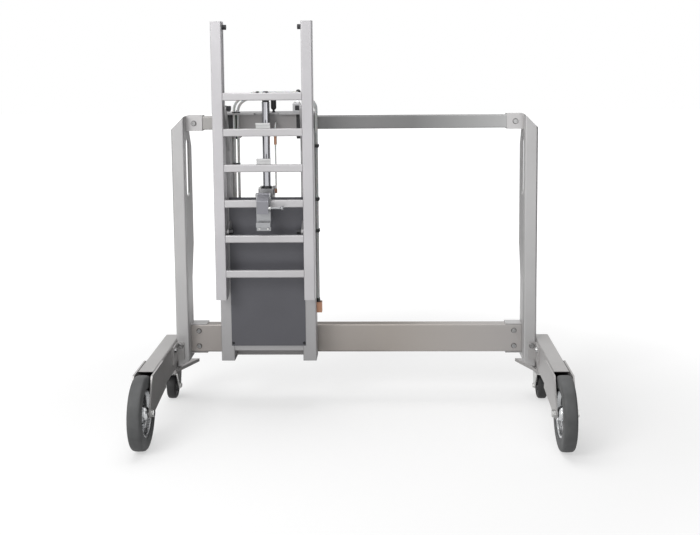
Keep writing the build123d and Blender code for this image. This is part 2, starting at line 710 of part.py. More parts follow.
CASTER_AXIS = Axis((KING_X, CASTER_Y, CASTER_Z), (1, 0, 0))
with BuildPart() as right_caster_wheel:
    with BuildSketch(facing_front(CASTER_Y)) as roller_half:
        with Locations((KING_X, CASTER_Z + (CASTER_AXLE_R + RUN_GAP + CASTER_R) / 2)):
            Rectangle(CASTER_WIDTH, CASTER_R - CASTER_AXLE_R - RUN_GAP)
        chamfer(roller_half.vertices().group_by(Axis.Y)[-1], CASTER_CHAMFER)
        with Locations((KING_X, CASTER_Z + (CASTER_AXLE_R + RUN_GAP + CHEEK_BOSS) / 2)):
            Rectangle(CASTER_HUB_WIDTH, CHEEK_BOSS - CASTER_AXLE_R - RUN_GAP)
    revolve(axis=CASTER_AXIS)

with BuildPart() as right_brake_pedal:
    rod(Plane.YZ.offset(KING_X - PEDAL_WIDTH / 2), (PEDAL_Y, PEDAL_Z), PEDAL_HUB_R, PEDAL_WIDTH)
    rod(Plane.YZ.offset(KING_X - CHEEK_OUTER), (PEDAL_Y, PEDAL_Z), PEDAL_PIN_R, 2 * CHEEK_OUTER)
    plate(
        Plane.YZ.offset(KING_X - PEDAL_WIDTH / 2),
        [
            (PEDAL_Y, PEDAL_Z - PEDAL_SHEET / 2),
            (PEDAL_Y + PEDAL_LENGTH, PEDAL_Z + PEDAL_RISE - PEDAL_SHEET / 2),
            (PEDAL_Y + PEDAL_LENGTH, PEDAL_Z + PEDAL_RISE + PEDAL_SHEET / 2),
            (PEDAL_Y, PEDAL_Z + PEDAL_SHEET / 2),
        ],
        PEDAL_WIDTH,
    )

CASTER_PIECES = {
    "caster_fork": right_caster_fork,
    "caster_wheel": right_caster_wheel,
    "brake_pedal": right_brake_pedal,
}
for piece_name, piece in CASTER_PIECES.items():
    save(piece, f"right_{piece_name}")
    with BuildPart() as other_side:
        mirror(piece.part, about=Plane.YZ)
    save(other_side, f"left_{piece_name}")

# carriage and mast; offsets are from the mast's middle
CROSS_REAR = BEAM_FRONT - SLIDE_GAP - PAD_THICK
CROSS_FRONT = CROSS_REAR - CROSS_SHEET
MAST_FRONT = CROSS_FRONT - MAST_DEPTH
MAST_TOP = TOP_BEAM_TOP + SLIDE_GAP + BLOCK_OVER
UPRIGHT_TOP = TOP_BEAM_LOW - MAST_BELOW_BEAM
BLOCK_OUTER = MAST_HALF - BLOCK_EDGE
BLOCK_INNER = BLOCK_OUTER - BLOCK_WIDTH
UPRIGHT_INNER = MAST_HALF - MAST_TUBE
TOP_FACE = MAST_TOP + TOP_SHEET
BLOCK_BACK = BEAM_REAR + SLIDE_GAP + BLOCK_REAR
BLOCK_LOW = TOP_BEAM_LOW - SLIDE_GAP - BLOCK_UNDER
FOOT_TOP = FOOT_LOW + FOOT_TALL
COVER_FRONT = MAST_FRONT - COVER_SHEET
COVER_HALF = UPRIGHT_INNER + COVER_LAP
HOSE_LEFT = [inset - UPRIGHT_INNER for inset in HOSE_INSET]
RAIL_INNER = MAST_HALF - RAIL_INSET
ROLLER_INNER = RAIL_INNER + RAIL_WALL + ROLLER_SIDE_GAP
ROLLER_OUTER = ROLLER_INNER + ROLLER_WIDTH
LUG_OUTER = RAIL_INNER - LUG_GAP
LUG_INNER = LUG_OUTER - LUG_SHEET
UPPER_ROLLER_Z = MAST_TOP + UPPER_ROLLER_UP
LOWER_ROLLER_Z = UPPER_ROLLER_Z - ROLLER_PITCH
ROLLER_HEIGHTS = {"upper": UPPER_ROLLER_Z, "lower": LOWER_ROLLER_Z}
BOTH = (-1, 1)


def at_mast(low, high):
    """Limits along X, from offsets to either side of the mast's middle."""
    return (MAST_X + low, MAST_X + high)


def mirrored(side, low, high):
    """Limits along X on one side of the mast, from offsets outwards."""
    return at_mast(*sorted((side * low, side * high)))


COVER_SCREWS = [
    (MAST_X + side * (COVER_HALF - COVER_SCREW_EDGE), height)
    for side in BOTH
    for height in (FOOT_TOP + COVER_SCREW_END, FOOT_TOP + COVER_TALL - COVER_SCREW_END)
]
BLOCK_SCREWS = [
    (MAST_X + side * offset, BLOCK_BACK - BLOCK_REAR / 2)
    for side in BOTH
    for offset in (BLOCK_INNER + BLOCK_SCREW_EDGE, BLOCK_OUTER - BLOCK_SCREW_EDGE)
]

for side, upright_name in ((-1, "left_mast_upright"), (1, "right_mast_upright")):
    with BuildPart() as upright:
        box_tube(Plane.XY.offset(MAST_LOW),
                 (MAST_X + side * (MAST_HALF - MAST_TUBE / 2), MAST_FRONT + MAST_DEPTH / 2),
                 (MAST_TUBE, MAST_DEPTH), MAST_WALL, MAST_CORNER, UPRIGHT_TOP - MAST_LOW)
        for place in COVER_SCREWS:
            rod(facing_front(MAST_FRONT), place, M6_R + BOLT_GAP, -MAST_WALL, Mode.SUBTRACT)
    save(upright, upright_name)

with BuildPart() as top_plate:
    block(at_mast(-MAST_HALF, MAST_HALF), (TOP_PLATE_FRONT, BLOCK_BACK), (MAST_TOP, TOP_FACE))
    block(at_mast(-NOTCH_HALF, NOTCH_HALF), (TOP_PLATE_FRONT, TOP_PLATE_FRONT + NOTCH_DEPTH),
          (MAST_TOP, TOP_FACE), Mode.SUBTRACT)
    fillet(top_plate.edges().filter_by(Axis.Z), NOTCH_ROUND)
    for place in BLOCK_SCREWS:
        rod(Plane.XY.offset(MAST_TOP), place, M8_R + BOLT_GAP, TOP_SHEET, Mode.SUBTRACT)
    for offset in HOSE_LEFT:
        rod(Plane.XY.offset(MAST_TOP), (MAST_X + offset, HOSE_Y), HOSE_R + GROMMET_WALL, TOP_SHEET,
            Mode.SUBTRACT)
save(top_plate, "top_plate")

with BuildPart() as cross_plates:
    block(at_mast(-MAST_HALF, MAST_HALF), (CROSS_FRONT, CROSS_REAR), (MAST_LOW, MAST_LOW + LOWER_CROSS_TALL))
    block(at_mast(-BLOCK_INNER, BLOCK_INNER), (CROSS_FRONT, CROSS_REAR),
          (MAST_TOP - UPPER_CROSS_TALL, MAST_TOP))
save(cross_plates, "cross_plates")

with BuildPart() as upper_slide_blocks:
    for side in BOTH:
        with BuildSketch(Plane.YZ.offset(mirrored(side, BLOCK_INNER, BLOCK_OUTER)[0])):
            with Locations(((CROSS_FRONT + BLOCK_BACK) / 2, (BLOCK_LOW + MAST_TOP) / 2)):
                Rectangle(BLOCK_BACK - CROSS_FRONT, MAST_TOP - BLOCK_LOW)
            with Locations((BEAM_FRONT + BEAM_DEPTH / 2, TOP_BEAM_LOW + TOP_BEAM_TALL / 2)):
                Rectangle(BEAM_DEPTH + 2 * SLIDE_GAP, TOP_BEAM_TALL + 2 * SLIDE_GAP, mode=Mode.SUBTRACT)
        extrude(amount=BLOCK_OUTER - BLOCK_INNER)
    for place in BLOCK_SCREWS:
        rod(Plane.XY.offset(MAST_TOP), place, M8_R + RUN_GAP, -BLOCK_SCREW_DEPTH, Mode.SUBTRACT)
save(upper_slide_blocks, "upper_slide_blocks")

with BuildPart() as lower_slide_blocks:
    for side in BOTH:
        block(mirrored(side, BLOCK_INNER, BLOCK_OUTER), (CROSS_REAR, CROSS_REAR + PAD_THICK),
              (PAD_LOW, PAD_LOW + PAD_TALL))
save(lower_slide_blocks, "lower_slide_blocks")

with BuildPart() as mast_foot:
    block(at_mast(-UPRIGHT_INNER, UPRIGHT_INNER), (MAST_FRONT + MAST_WALL, CROSS_FRONT - MAST_WALL),
          (FOOT_LOW, FOOT_TOP))
save(mast_foot, "mast_foot")

with BuildPart() as mast_cover:
    block(at_mast(-COVER_HALF, COVER_HALF), (COVER_FRONT, MAST_FRONT), (FOOT_TOP, FOOT_TOP + COVER_TALL))
    for place in COVER_SCREWS:
        rod(facing_front(COVER_FRONT), place, M6_R + BOLT_GAP, -COVER_SHEET, Mode.SUBTRACT)
    lug_half = LUG_ROOT / 2 + COVER_NOTCH
    for side in BOTH:
        block(mirrored(side, LUG_INNER - COVER_NOTCH, COVER_HALF), (COVER_FRONT, MAST_FRONT),
              (LOWER_ROLLER_Z - lug_half, LOWER_ROLLER_Z + lug_half), Mode.SUBTRACT)
save(mast_cover, "mast_cover")

with BuildPart() as carriage_screws:
    for place in COVER_SCREWS:
        screw(facing_front(COVER_FRONT), place, M6_R, M6_HEAD_R, M6_HEAD, COVER_SHEET + MAST_WALL)
    for place in BLOCK_SCREWS:
        screw(Plane.XY.offset(TOP_FACE), place, M8_R, M8_HEAD_R, M8_HEAD, TOP_SHEET + BLOCK_SCREW_DEPTH)
save(carriage_screws, "carriage_screws")

# guide rollers on lugs in front of the mast
with BuildPart() as guide_lugs:
    for height in ROLLER_HEIGHTS.values():
        root_top = min(height + LUG_ROOT / 2, UPRIGHT_TOP)
        for side in BOTH:
            lug_plane = Plane.YZ.offset(mirrored(side, LUG_INNER, LUG_OUTER)[0])
            hulled_plate(lug_plane, [((ROLLER_Y, height), LUG_HALF)],
                         [(MAST_FRONT, root_top - LUG_ROOT), (MAST_FRONT, root_top)], LUG_SHEET)
            rod(lug_plane, (ROLLER_Y, height), ROLLER_AXLE_R + RUN_GAP, LUG_SHEET, Mode.SUBTRACT)
save(guide_lugs, "guide_lugs")

with BuildPart() as roller_axles:
    for height in ROLLER_HEIGHTS.values():
        for side in BOTH:
            axle_from = mirrored(side, LUG_INNER - ROLLER_NUT, ROLLER_OUTER + SLIDE_GAP + ROLLER_HEAD)
            rod(Plane.YZ.offset(axle_from[0]), (ROLLER_Y, height), ROLLER_AXLE_R,
                axle_from[1] - axle_from[0])
            nut_from = mirrored(side, LUG_INNER - ROLLER_NUT, LUG_INNER)[0]
            hexagon(Plane.YZ.offset(nut_from), (ROLLER_Y, height), ROLLER_NUT_R, ROLLER_NUT)
            head_from = mirrored(side, ROLLER_OUTER + SLIDE_GAP, ROLLER_OUTER + SLIDE_GAP + ROLLER_HEAD)[0]
            rod(Plane.YZ.offset(head_from), (ROLLER_Y, height), ROLLER_HEAD_R, ROLLER_HEAD)
save(roller_axles, "roller_axles")

for level, height in ROLLER_HEIGHTS.items():
    for side, side_name in ((-1, "left"), (1, "right")):
        with BuildPart() as roller:
            rod(Plane.YZ.offset(mirrored(side, ROLLER_INNER, ROLLER_OUTER)[0]), (ROLLER_Y, height),
                ROLLER_R, ROLLER_WIDTH)
            chamfer(roller.edges(), ROLLER_CHAMFER)
            rod(Plane.YZ.offset(mirrored(side, ROLLER_INNER, ROLLER_OUTER)[0]), (ROLLER_Y, height),
                ROLLER_AXLE_R + RUN_GAP, ROLLER_WIDTH, Mode.SUBTRACT)
        save(roller, f"{level}_{side_name}_roller")

# air cylinder
BARREL_LOW = FOOT_TOP + CYL_BASE_TALL
BARREL_TOP = BARREL_LOW + BARREL_TALL
HEAD_TOP = BARREL_TOP + CYL_HEAD_TALL
TIE_PLACES = [(MAST_X + a * TIE_OFFSET, CYL_Y + b * TIE_OFFSET) for a in BOTH for b in BOTH]
with BuildPart() as cylinder_ends:
    block(at_mast(-CYL_BASE / 2, CYL_BASE / 2), (CYL_Y - CYL_BASE / 2, CYL_Y + CYL_BASE / 2),
          (FOOT_TOP, BARREL_LOW))
    block(at_mast(-CYL_HEAD / 2, CYL_HEAD / 2), (CYL_Y - CYL_HEAD / 2, CYL_Y + CYL_HEAD / 2),
          (BARREL_TOP, HEAD_TOP))
    chamfer(cylinder_ends.edges().filter_by(Axis.Z), CYL_CHAMFER)
    rod(Plane.XY.offset(BARREL_TOP), (MAST_X, CYL_Y), ROD_R + RUN_GAP, CYL_HEAD_TALL, Mode.SUBTRACT)
    for place in TIE_PLACES:
        rod(Plane.XY.offset(BARREL_TOP), place, TIE_R + RUN_GAP, CYL_HEAD_TALL, Mode.SUBTRACT)
save(cylinder_ends, "cylinder_ends")

with BuildPart() as cylinder_barrel:
    rod(Plane.XY.offset(BARREL_LOW), (MAST_X, CYL_Y), BARREL_R, BARREL_TALL)
    rod(Plane.XY.offset(BARREL_LOW), (MAST_X, CYL_Y), BARREL_BORE, BARREL_TALL, Mode.SUBTRACT)
save(cylinder_barrel, "cylinder_barrel")

with BuildPart() as tie_rods:
    for place in TIE_PLACES:
        rod(Plane.XY.offset(BARREL_LOW), place, TIE_R, BARREL_TALL + CYL_HEAD_TALL + TIE_NUT)
        hexagon(Plane.XY.offset(HEAD_TOP), place, TIE_NUT_R, TIE_NUT)
save(tie_rods, "tie_rods")

# air line
HOSE_RIGHT = MAST_HALF + HOSE_R + HOSE_OFF_TUBE
HOSE_FOOT = FITTING_LOW + FITTING_TALL
HOSE_INLET = INLET_LOW + INLET_TALL
INLET_OUTER = HOSE_RIGHT + HOSE_R + INLET_PAST_HOSE
TUBE_X = MAST_X + CYL_HEAD / 2 + ELBOW_SIZE / 2
TUBE_TOP = MAST_TOP - HEAD_TUBE_DROP


def pipe(points, bend, radius):
    """Round hose or tube along straight runs joined by arcs."""
    with BuildLine() as path:
        FilletPolyline(*points, radius=bend)
    with BuildSketch(Plane(origin=path.line @ 0, z_dir=path.line % 0)) as face:
        Circle(radius)
    sweep(face.sketch, path=path.line)


with BuildPart() as air_hoses:
    for riser, bend_up, rise, turn, down_y in zip(
        HOSE_LEFT, HOSE_SHOULDER, HOSE_RISE, HOSE_TURN_LEFT, HOSE_DOWN_Y
    ):
        shoulder = TOP_FACE + bend_up
        peak = TOP_FACE + rise
        pipe(
            [
                (MAST_X + riser, HOSE_Y, HOSE_FOOT),
                (MAST_X + riser, HOSE_Y, shoulder),
                (MAST_X + riser + turn, HOSE_Y, peak),
                (MAST_X + HOSE_RIGHT - HOSE_TURN_RIGHT, down_y, peak),
                (MAST_X + HOSE_RIGHT, down_y, shoulder),
                (MAST_X + HOSE_RIGHT, down_y, HOSE_INLET),
            ],
            HOSE_BEND,
            HOSE_R,
        )
save(air_hoses, "air_hoses")

with BuildPart() as hose_holders:
    for offset in HOSE_LEFT:
        place = (MAST_X + offset, HOSE_Y)
        rod(Plane.XY.offset(MAST_TOP), place, HOSE_R + GROMMET_WALL - RUN_GAP, TOP_SHEET + GROMMET_TALL)
        rod(Plane.XY.offset(TOP_FACE), place, HOSE_R + GROMMET_WALL + GROMMET_FLANGE, GROMMET_TALL)
        rod(Plane.XY.offset(MAST_TOP), place, HOSE_R + RUN_GAP, TOP_SHEET + GROMMET_TALL, Mode.SUBTRACT)
    for height in CLIP_HEIGHTS:
        block((MAST_X + MAST_HALF, MAST_X + HOSE_RIGHT + HOSE_R + CLIP_WALL),
              (HOSE_DOWN_Y[1] - HOSE_R - CLIP_WALL, HOSE_DOWN_Y[0] + HOSE_R + CLIP_WALL),
              (height - CLIP_TALL / 2, height + CLIP_TALL / 2))
        for y in HOSE_DOWN_Y:
            rod(Plane.XY.offset(height - CLIP_TALL / 2), (MAST_X + HOSE_RIGHT, y), HOSE_R + RUN_GAP,
                CLIP_TALL, Mode.SUBTRACT)
save(hose_holders, "hose_holders")

with BuildPart() as air_fittings:
    block(at_mast(-UPRIGHT_INNER, HOSE_LEFT[1] + HOSE_R + CLIP_WALL),
          (CROSS_FRONT - FITTING_REACH, CROSS_FRONT), (FITTING_LOW, HOSE_FOOT))
    block(at_mast(MAST_HALF, INLET_OUTER),
          (HOSE_DOWN_Y[1] - HOSE_R - CLIP_WALL, HOSE_DOWN_Y[0] + HOSE_R + CLIP_WALL),
          (INLET_LOW, HOSE_INLET))
    block(at_mast(CYL_HEAD / 2, CYL_HEAD / 2 + ELBOW_SIZE),
          (CYL_Y - ELBOW_SIZE / 2, CYL_Y + ELBOW_SIZE / 2),
          (BARREL_TOP + ELBOW_UP, BARREL_TOP + ELBOW_UP + ELBOW_TALL))
    inlet = (MAST_X + (MAST_HALF + INLET_OUTER) / 2, sum(HOSE_DOWN_Y) / 2)
    rod(Plane.XY.offset(INLET_LOW), inlet, PORT_R, PORT_DEPTH, Mode.SUBTRACT)
    rod(Plane.XY.offset(FERRULE_LOW), (TUBE_X, CYL_Y), FERRULE_R, FERRULE_TALL)
    rod(Plane.XY.offset(FERRULE_LOW), (TUBE_X, CYL_Y), HEAD_TUBE_R + RUN_GAP, FERRULE_TALL, Mode.SUBTRACT)
save(air_fittings, "air_fittings")

with BuildPart() as head_tube:
    pipe(
        [
            (TUBE_X, CYL_Y, BARREL_TOP + ELBOW_UP + ELBOW_TALL),
            (TUBE_X, CYL_Y, TUBE_TOP),
            (TUBE_X, CROSS_FRONT, TUBE_TOP),
        ],
        HEAD_TUBE_BEND,
        HEAD_TUBE_R,
    )
save(head_tube, "head_tube")

SILENCER_X = MAST_X + SILENCER_OFFSET
BULLET_LOW = TOP_FACE + SILENCER_NECK
with BuildPart() as silencer:
    with BuildSketch(facing_front(SILENCER_Y)):
        with BuildLine():
            Polyline(
                (SILENCER_X + SILENCER_R, BULLET_LOW + SILENCER_R),
                (SILENCER_X + SILENCER_R, TOP_FACE + SILENCER_TALL),
                (SILENCER_X, TOP_FACE + SILENCER_TALL),
                (SILENCER_X, TOP_FACE),
                (SILENCER_X + SILENCER_FOOT_R, TOP_FACE),
                (SILENCER_X + SILENCER_NECK_R, BULLET_LOW),
            )
            RadiusArc((SILENCER_X + SILENCER_NECK_R, BULLET_LOW),
                      (SILENCER_X + SILENCER_R, BULLET_LOW + SILENCER_R), -SILENCER_R)
        make_face()
    revolve(axis=Axis((SILENCER_X, SILENCER_Y, 0), (0, 0, 1)))
save(silencer, "silencer")

# hand valve on the top plate
VALVE_X = MAST_HALF - VALVE_INSET
VALVE_REAR = VALVE_FRONT + VALVE_DEPTH
VALVE_PIN_Y = VALVE_REAR + VALVE_PIN_BACK
VALVE_PIN_Z = TOP_FACE + VALVE_PIN_UP
with BuildPart() as valve_body:
    block(at_mast(VALVE_X - VALVE_WIDTH / 2, VALVE_X + VALVE_WIDTH / 2), (VALVE_FRONT, VALVE_REAR),
          (TOP_FACE, TOP_FACE + VALVE_TALL))
    chamfer(valve_body.edges().group_by(Axis.Z)[-1], VALVE_CHAMFER)
    for x in (VALVE_X - VALVE_WIDTH / 2, VALVE_X + VALVE_WIDTH / 2 - VALVE_EAR):
        hulled_plate(Plane.YZ.offset(MAST_X + x),
                     [((VALVE_PIN_Y, VALVE_PIN_Z), VALVE_PIN_R + VALVE_EAR / 2)],
                     [
                         (VALVE_REAR, TOP_FACE + VALVE_EAR),
                         (VALVE_REAR, TOP_FACE + VALVE_TALL - VALVE_CHAMFER),
                     ],
                     VALVE_EAR)
    rod(Plane.YZ.offset(MAST_X + VALVE_X - VALVE_WIDTH / 2), (VALVE_PIN_Y, VALVE_PIN_Z), VALVE_PIN_R,
        VALVE_WIDTH)
save(valve_body, "valve_body")

with BuildPart() as valve_lever:
    boss_plane = Plane.YZ.offset(MAST_X + VALVE_X - LEVER_WIDTH / 2)
    hulled_plate(boss_plane, [((VALVE_PIN_Y, VALVE_PIN_Z), LEVER_BOSS),
                              ((VALVE_PIN_Y + LEVER_REACH, VALVE_PIN_Z + LEVER_RISE), LEVER_R)],
                 [(VALVE_PIN_Y, VALVE_PIN_Z), (VALVE_PIN_Y + LEVER_R, VALVE_PIN_Z)], LEVER_WIDTH)
    rod(boss_plane, (VALVE_PIN_Y, VALVE_PIN_Z), VALVE_PIN_R + RUN_GAP, LEVER_WIDTH, Mode.SUBTRACT)
save(valve_lever, "valve_lever")

with BuildPart() as valve_knob:
    with BuildSketch(Plane.XZ.offset(-(VALVE_PIN_Y + LEVER_REACH))) as half_ball:
        with Locations((MAST_X + VALVE_X, VALVE_PIN_Z + LEVER_RISE)):
            Circle(KNOB_R)
        block_side = Location((MAST_X + VALVE_X - KNOB_R, VALVE_PIN_Z + LEVER_RISE))
        with Locations(block_side):
            Rectangle(2 * KNOB_R, 3 * KNOB_R, mode=Mode.SUBTRACT)
    revolve(axis=Axis((MAST_X + VALVE_X, VALVE_PIN_Y + LEVER_REACH, 0), (0, 0, 1)))
    add(valve_lever.part, mode=Mode.SUBTRACT)
save(valve_knob, "valve_knob")

# lift frame, which rolls up and down on the guide rollers
RAIL_DEPTH = 2 * (ROLLER_R + SLIDE_GAP + RAIL_WALL)
RAIL_FRONT = ROLLER_Y - RAIL_DEPTH / 2
RAIL_TOP = RAIL_LOW + RAIL_TALL
RUNG_REAR = RAIL_FRONT + RUNG_DEPTH
RUNG_HEIGHTS = [RUNG_LOWEST + n * RUNG_PITCH for n in range(RUNG_COUNT)]
RUNG_TOP = RUNG_HEIGHTS[-1] + RUNG_TALL / 2
BRACKET_BOLTS = [(MAST_X + side * BRACKET_BOLT_X, RAIL_FRONT + RUNG_DEPTH / 2) for side in BOTH]
for side, rail_name in ((-1, "left_lift_rail"), (1, "right_lift_rail")):
    with BuildPart() as rail:
        with BuildSketch(Plane.XY.offset(RAIL_LOW)):
            with Locations((MAST_X + side * (RAIL_INNER + RAIL_WIDTH / 2), ROLLER_Y)):
                RectangleRounded(RAIL_WIDTH, RAIL_DEPTH, RAIL_WALL)
                Rectangle(RAIL_WIDTH - 2 * RAIL_WALL, RAIL_DEPTH - 2 * RAIL_WALL, mode=Mode.SUBTRACT)
            with Locations((MAST_X + side * (RAIL_INNER + RAIL_WALL / 2), ROLLER_Y)):
                Rectangle(RAIL_WALL, RAIL_SLOT, mode=Mode.SUBTRACT)
        extrude(amount=RAIL_TALL)
    save(rail, rail_name)

with BuildPart() as lift_rungs:
    for height in RUNG_HEIGHTS:
        box_tube(Plane.YZ.offset(MAST_X - RAIL_INNER), (RAIL_FRONT + RUNG_DEPTH / 2, height),
                 (RUNG_DEPTH, RUNG_TALL), RUNG_WALL, RUNG_CORNER, 2 * RAIL_INNER)
    for place in BRACKET_BOLTS:
        rod(Plane.XY.offset(RUNG_TOP), place, M8_R + BOLT_GAP, -RUNG_WALL, Mode.SUBTRACT)
save(lift_rungs, "lift_rungs")

with BuildPart() as rung_seats:
    for rung in RUNG_HEIGHTS[3:5]:
        low = rung - RUNG_TALL / 2
        high = rung + RUNG_TALL / 2 + SEAT_RISE
        plate(
            Plane.YZ.offset(MAST_X - SEAT_WIDTH / 2),
            [
                (RUNG_REAR, low),
                (RUNG_REAR + SEAT_SHEET, low),
                (RUNG_REAR + SEAT_SHEET, high),
                (RUNG_REAR - SEAT_LIP, high),
                (RUNG_REAR - SEAT_LIP, high - SEAT_SHEET),
                (RUNG_REAR, high - SEAT_SHEET),
            ],
            SEAT_WIDTH,
        )
save(rung_seats, "rung_seats")

BRACKET_LOW = RUNG_HEIGHTS[-1] - ROD_BRACKET_DROP
BRACKET_TOP = BRACKET_LOW + ROD_BRACKET_TALL
ROD_TOP = BRACKET_LOW - ROD_NUT
with BuildPart() as rod_bracket:
    block(at_mast(-ROD_BRACKET_HALF, ROD_BRACKET_HALF), (RUNG_REAR, CYL_Y + ROD_BRACKET_PAST),
          (BRACKET_LOW, BRACKET_TOP))
    fillet(rod_bracket.edges().filter_by(Axis.Z).group_by(Axis.Y)[-1], ROD_BRACKET_ROUND)
    rod(Plane.XY.offset(BRACKET_LOW), (MAST_X, CYL_Y), STUD_R + BOLT_GAP, ROD_BRACKET_TALL,
        Mode.SUBTRACT)
save(rod_bracket, "rod_bracket")

with BuildPart() as piston_rod:
    rod(Plane.XY.offset(PISTON_LOW), (MAST_X, CYL_Y), BARREL_BORE - RUN_GAP * 2, PISTON_TALL)
    rod(Plane.XY.offset(PISTON_LOW), (MAST_X, CYL_Y), ROD_R, ROD_TOP - PISTON_LOW)
    rod(Plane.XY.offset(ROD_TOP), (MAST_X, CYL_Y), STUD_R, 2 * ROD_NUT + ROD_BRACKET_TALL + STUD_PAST)
save(piston_rod, "piston_rod")

# rim gripper on its rung
GRIP_TOP = RUNG_HEIGHTS[2] + RUNG_TALL / 2
GRIP_BOTTOM = RUNG_HEIGHTS[2] - RUNG_TALL / 2
CROWN = GRIP_TOP + GRIPPER_SHEET
FACE_LOW = GRIP_BOTTOM - GRIPPER_DROP
FACE_Y = RAIL_FRONT - GRIPPER_FRONT_SHEET
JAW_PIN_Z = CROWN + JAW_PIN_UP
JAW_PIN_Y = RAIL_FRONT - JAW_PIN_AHEAD
BODY_HALF = JAW_HALF + EAR_GAP + EAR_SHEET
SHELF_LOW = FACE_LOW + SHELF_UP
with BuildPart() as gripper_body:
    plate(
        Plane.YZ.offset(MAST_X - BODY_HALF),
        [
            (RUNG_REAR, GRIP_BOTTOM),
            (RUNG_REAR + GRIPPER_SHEET, GRIP_BOTTOM),
            (RUNG_REAR + GRIPPER_SHEET, CROWN),
            (FACE_Y, CROWN),
            (FACE_Y, SHELF_LOW + SHELF_TALL),
            (FACE_Y - SHELF_REACH + SHELF_LIP, SHELF_LOW + SHELF_TALL),
            (FACE_Y - SHELF_REACH, SHELF_LOW + SHELF_TALL + SHELF_LIP),
            (FACE_Y - SHELF_REACH, SHELF_LOW),
            (FACE_Y, SHELF_LOW),
            (FACE_Y, FACE_LOW),
            (RAIL_FRONT, FACE_LOW),
            (RAIL_FRONT, GRIP_TOP),
            (RUNG_REAR, GRIP_TOP),
        ],
        2 * BODY_HALF,
    )
    for x in (-BODY_HALF, JAW_HALF + EAR_GAP):
        ear_plane = Plane.YZ.offset(MAST_X + x)
        hulled_plate(ear_plane, [((JAW_PIN_Y, JAW_PIN_Z), EAR_BOSS)],
                     [(FACE_Y, CROWN), (JAW_PIN_Y + EAR_BOSS, CROWN)], EAR_SHEET)
        rod(ear_plane, (JAW_PIN_Y, JAW_PIN_Z), JAW_PIN_R + RUN_GAP, EAR_SHEET, Mode.SUBTRACT)
save(gripper_body, "gripper_body")

STOP_Z = RAIL_TOP - STOP_BELOW_TOP
with BuildPart() as lift_fasteners:
    for side in BOTH:
        shank = mirrored(side, RAIL_INNER - STOP_NUT, RAIL_INNER + RAIL_WALL + STOP_HEAD)
        rod(Plane.YZ.offset(shank[0]), (ROLLER_Y, STOP_Z), STOP_R, shank[1] - shank[0])
        nut = mirrored(side, RAIL_INNER - STOP_NUT, RAIL_INNER)
        hexagon(Plane.YZ.offset(nut[0]), (ROLLER_Y, STOP_Z), STOP_NUT_R, STOP_NUT)
        head = mirrored(side, RAIL_INNER + RAIL_WALL, RAIL_INNER + RAIL_WALL + STOP_HEAD)
        rod(Plane.YZ.offset(head[0]), (ROLLER_Y, STOP_Z), STOP_NUT_R, STOP_HEAD)
    for place in BRACKET_BOLTS:
        screw(Plane.XY.offset(RUNG_TOP), place, M8_R, M8_HEAD_R, M8_HEAD, RUNG_WALL)
    for low in (ROD_TOP, BRACKET_TOP):
        hexagon(Plane.XY.offset(low), (MAST_X, CYL_Y), ROD_NUT_R, ROD_NUT)
        rod(Plane.XY.offset(low), (MAST_X, CYL_Y), STUD_R + RUN_GAP, ROD_NUT, Mode.SUBTRACT)
    rod(Plane.YZ.offset(MAST_X - BODY_HALF), (JAW_PIN_Y, JAW_PIN_Z), JAW_PIN_R, 2 * BODY_HALF)
    for x in (-BODY_HALF - JAW_PIN_HEAD, BODY_HALF):
        rod(Plane.YZ.offset(MAST_X + x), (JAW_PIN_Y, JAW_PIN_Z), JAW_PIN_HEAD_R, JAW_PIN_HEAD)
save(lift_fasteners, "lift_fasteners")

BROW_Z = JAW_PIN_Z - JAW_BROW_DROP
TIP_Z = BROW_Z - JAW_FACE_TALL
JAW_FRONT = FACE_Y - RIM_GAP - JAW_TIP
with BuildPart() as upper_jaw:
    with BuildSketch(Plane.YZ.offset(MAST_X - JAW_HALF)) as beak:
        with BuildLine():
            Polyline(
                (JAW_PIN_Y, JAW_PIN_Z + JAW_BOSS),
                (JAW_FRONT, BROW_Z),
                (JAW_FRONT, TIP_Z),
                (JAW_FRONT + JAW_TIP, TIP_Z),
                (JAW_FRONT + JAW_TIP + JAW_SLANT, BROW_Z - JAW_TIP),
                (FACE_Y - JAW_SLANT, JAW_PIN_Z - JAW_BOSS),
                (JAW_PIN_Y, JAW_PIN_Z - JAW_BOSS),
                close=True,
            )
        make_face()
        fillet(beak.vertices().group_by(Axis.X)[0].sort_by(Axis.Y)[-1], JAW_ROUND)
        with Locations((JAW_PIN_Y, JAW_PIN_Z)):
            Circle(JAW_BOSS)
            Circle(JAW_PIN_R + RUN_GAP, mode=Mode.SUBTRACT)
    extrude(amount=2 * JAW_HALF)
save(upper_jaw, "upper_jaw")

with BuildPart() as release_lever:
    lever_y = JAW_FRONT + (JAW_TIP + JAW_SLANT) / 2
    lever_z = BROW_Z - HANDLE_DROP
    rod(Plane.YZ.offset(MAST_X + JAW_HALF), (lever_y, lever_z), HANDLE_R, HANDLE_LENGTH)
    with BuildSketch(Plane.XY.offset(lever_z)) as ball_half:
        ball_x = MAST_X + JAW_HALF + HANDLE_LENGTH
        with Locations((ball_x, lever_y)):
            Circle(HANDLE_BALL)
        with Locations((ball_x, lever_y - HANDLE_BALL)):
            Rectangle(3 * HANDLE_BALL, 2 * HANDLE_BALL, mode=Mode.SUBTRACT)
    revolve(axis=Axis((0, lever_y, lever_z), (1, 0, 0)))
save(release_lever, "release_lever")
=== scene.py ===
"""Looks of the drum depalletizer: finishes, welds, wheels, air line, camera and light."""

import json
import math

import bmesh
import bpy
from mathutils import Matrix, Vector


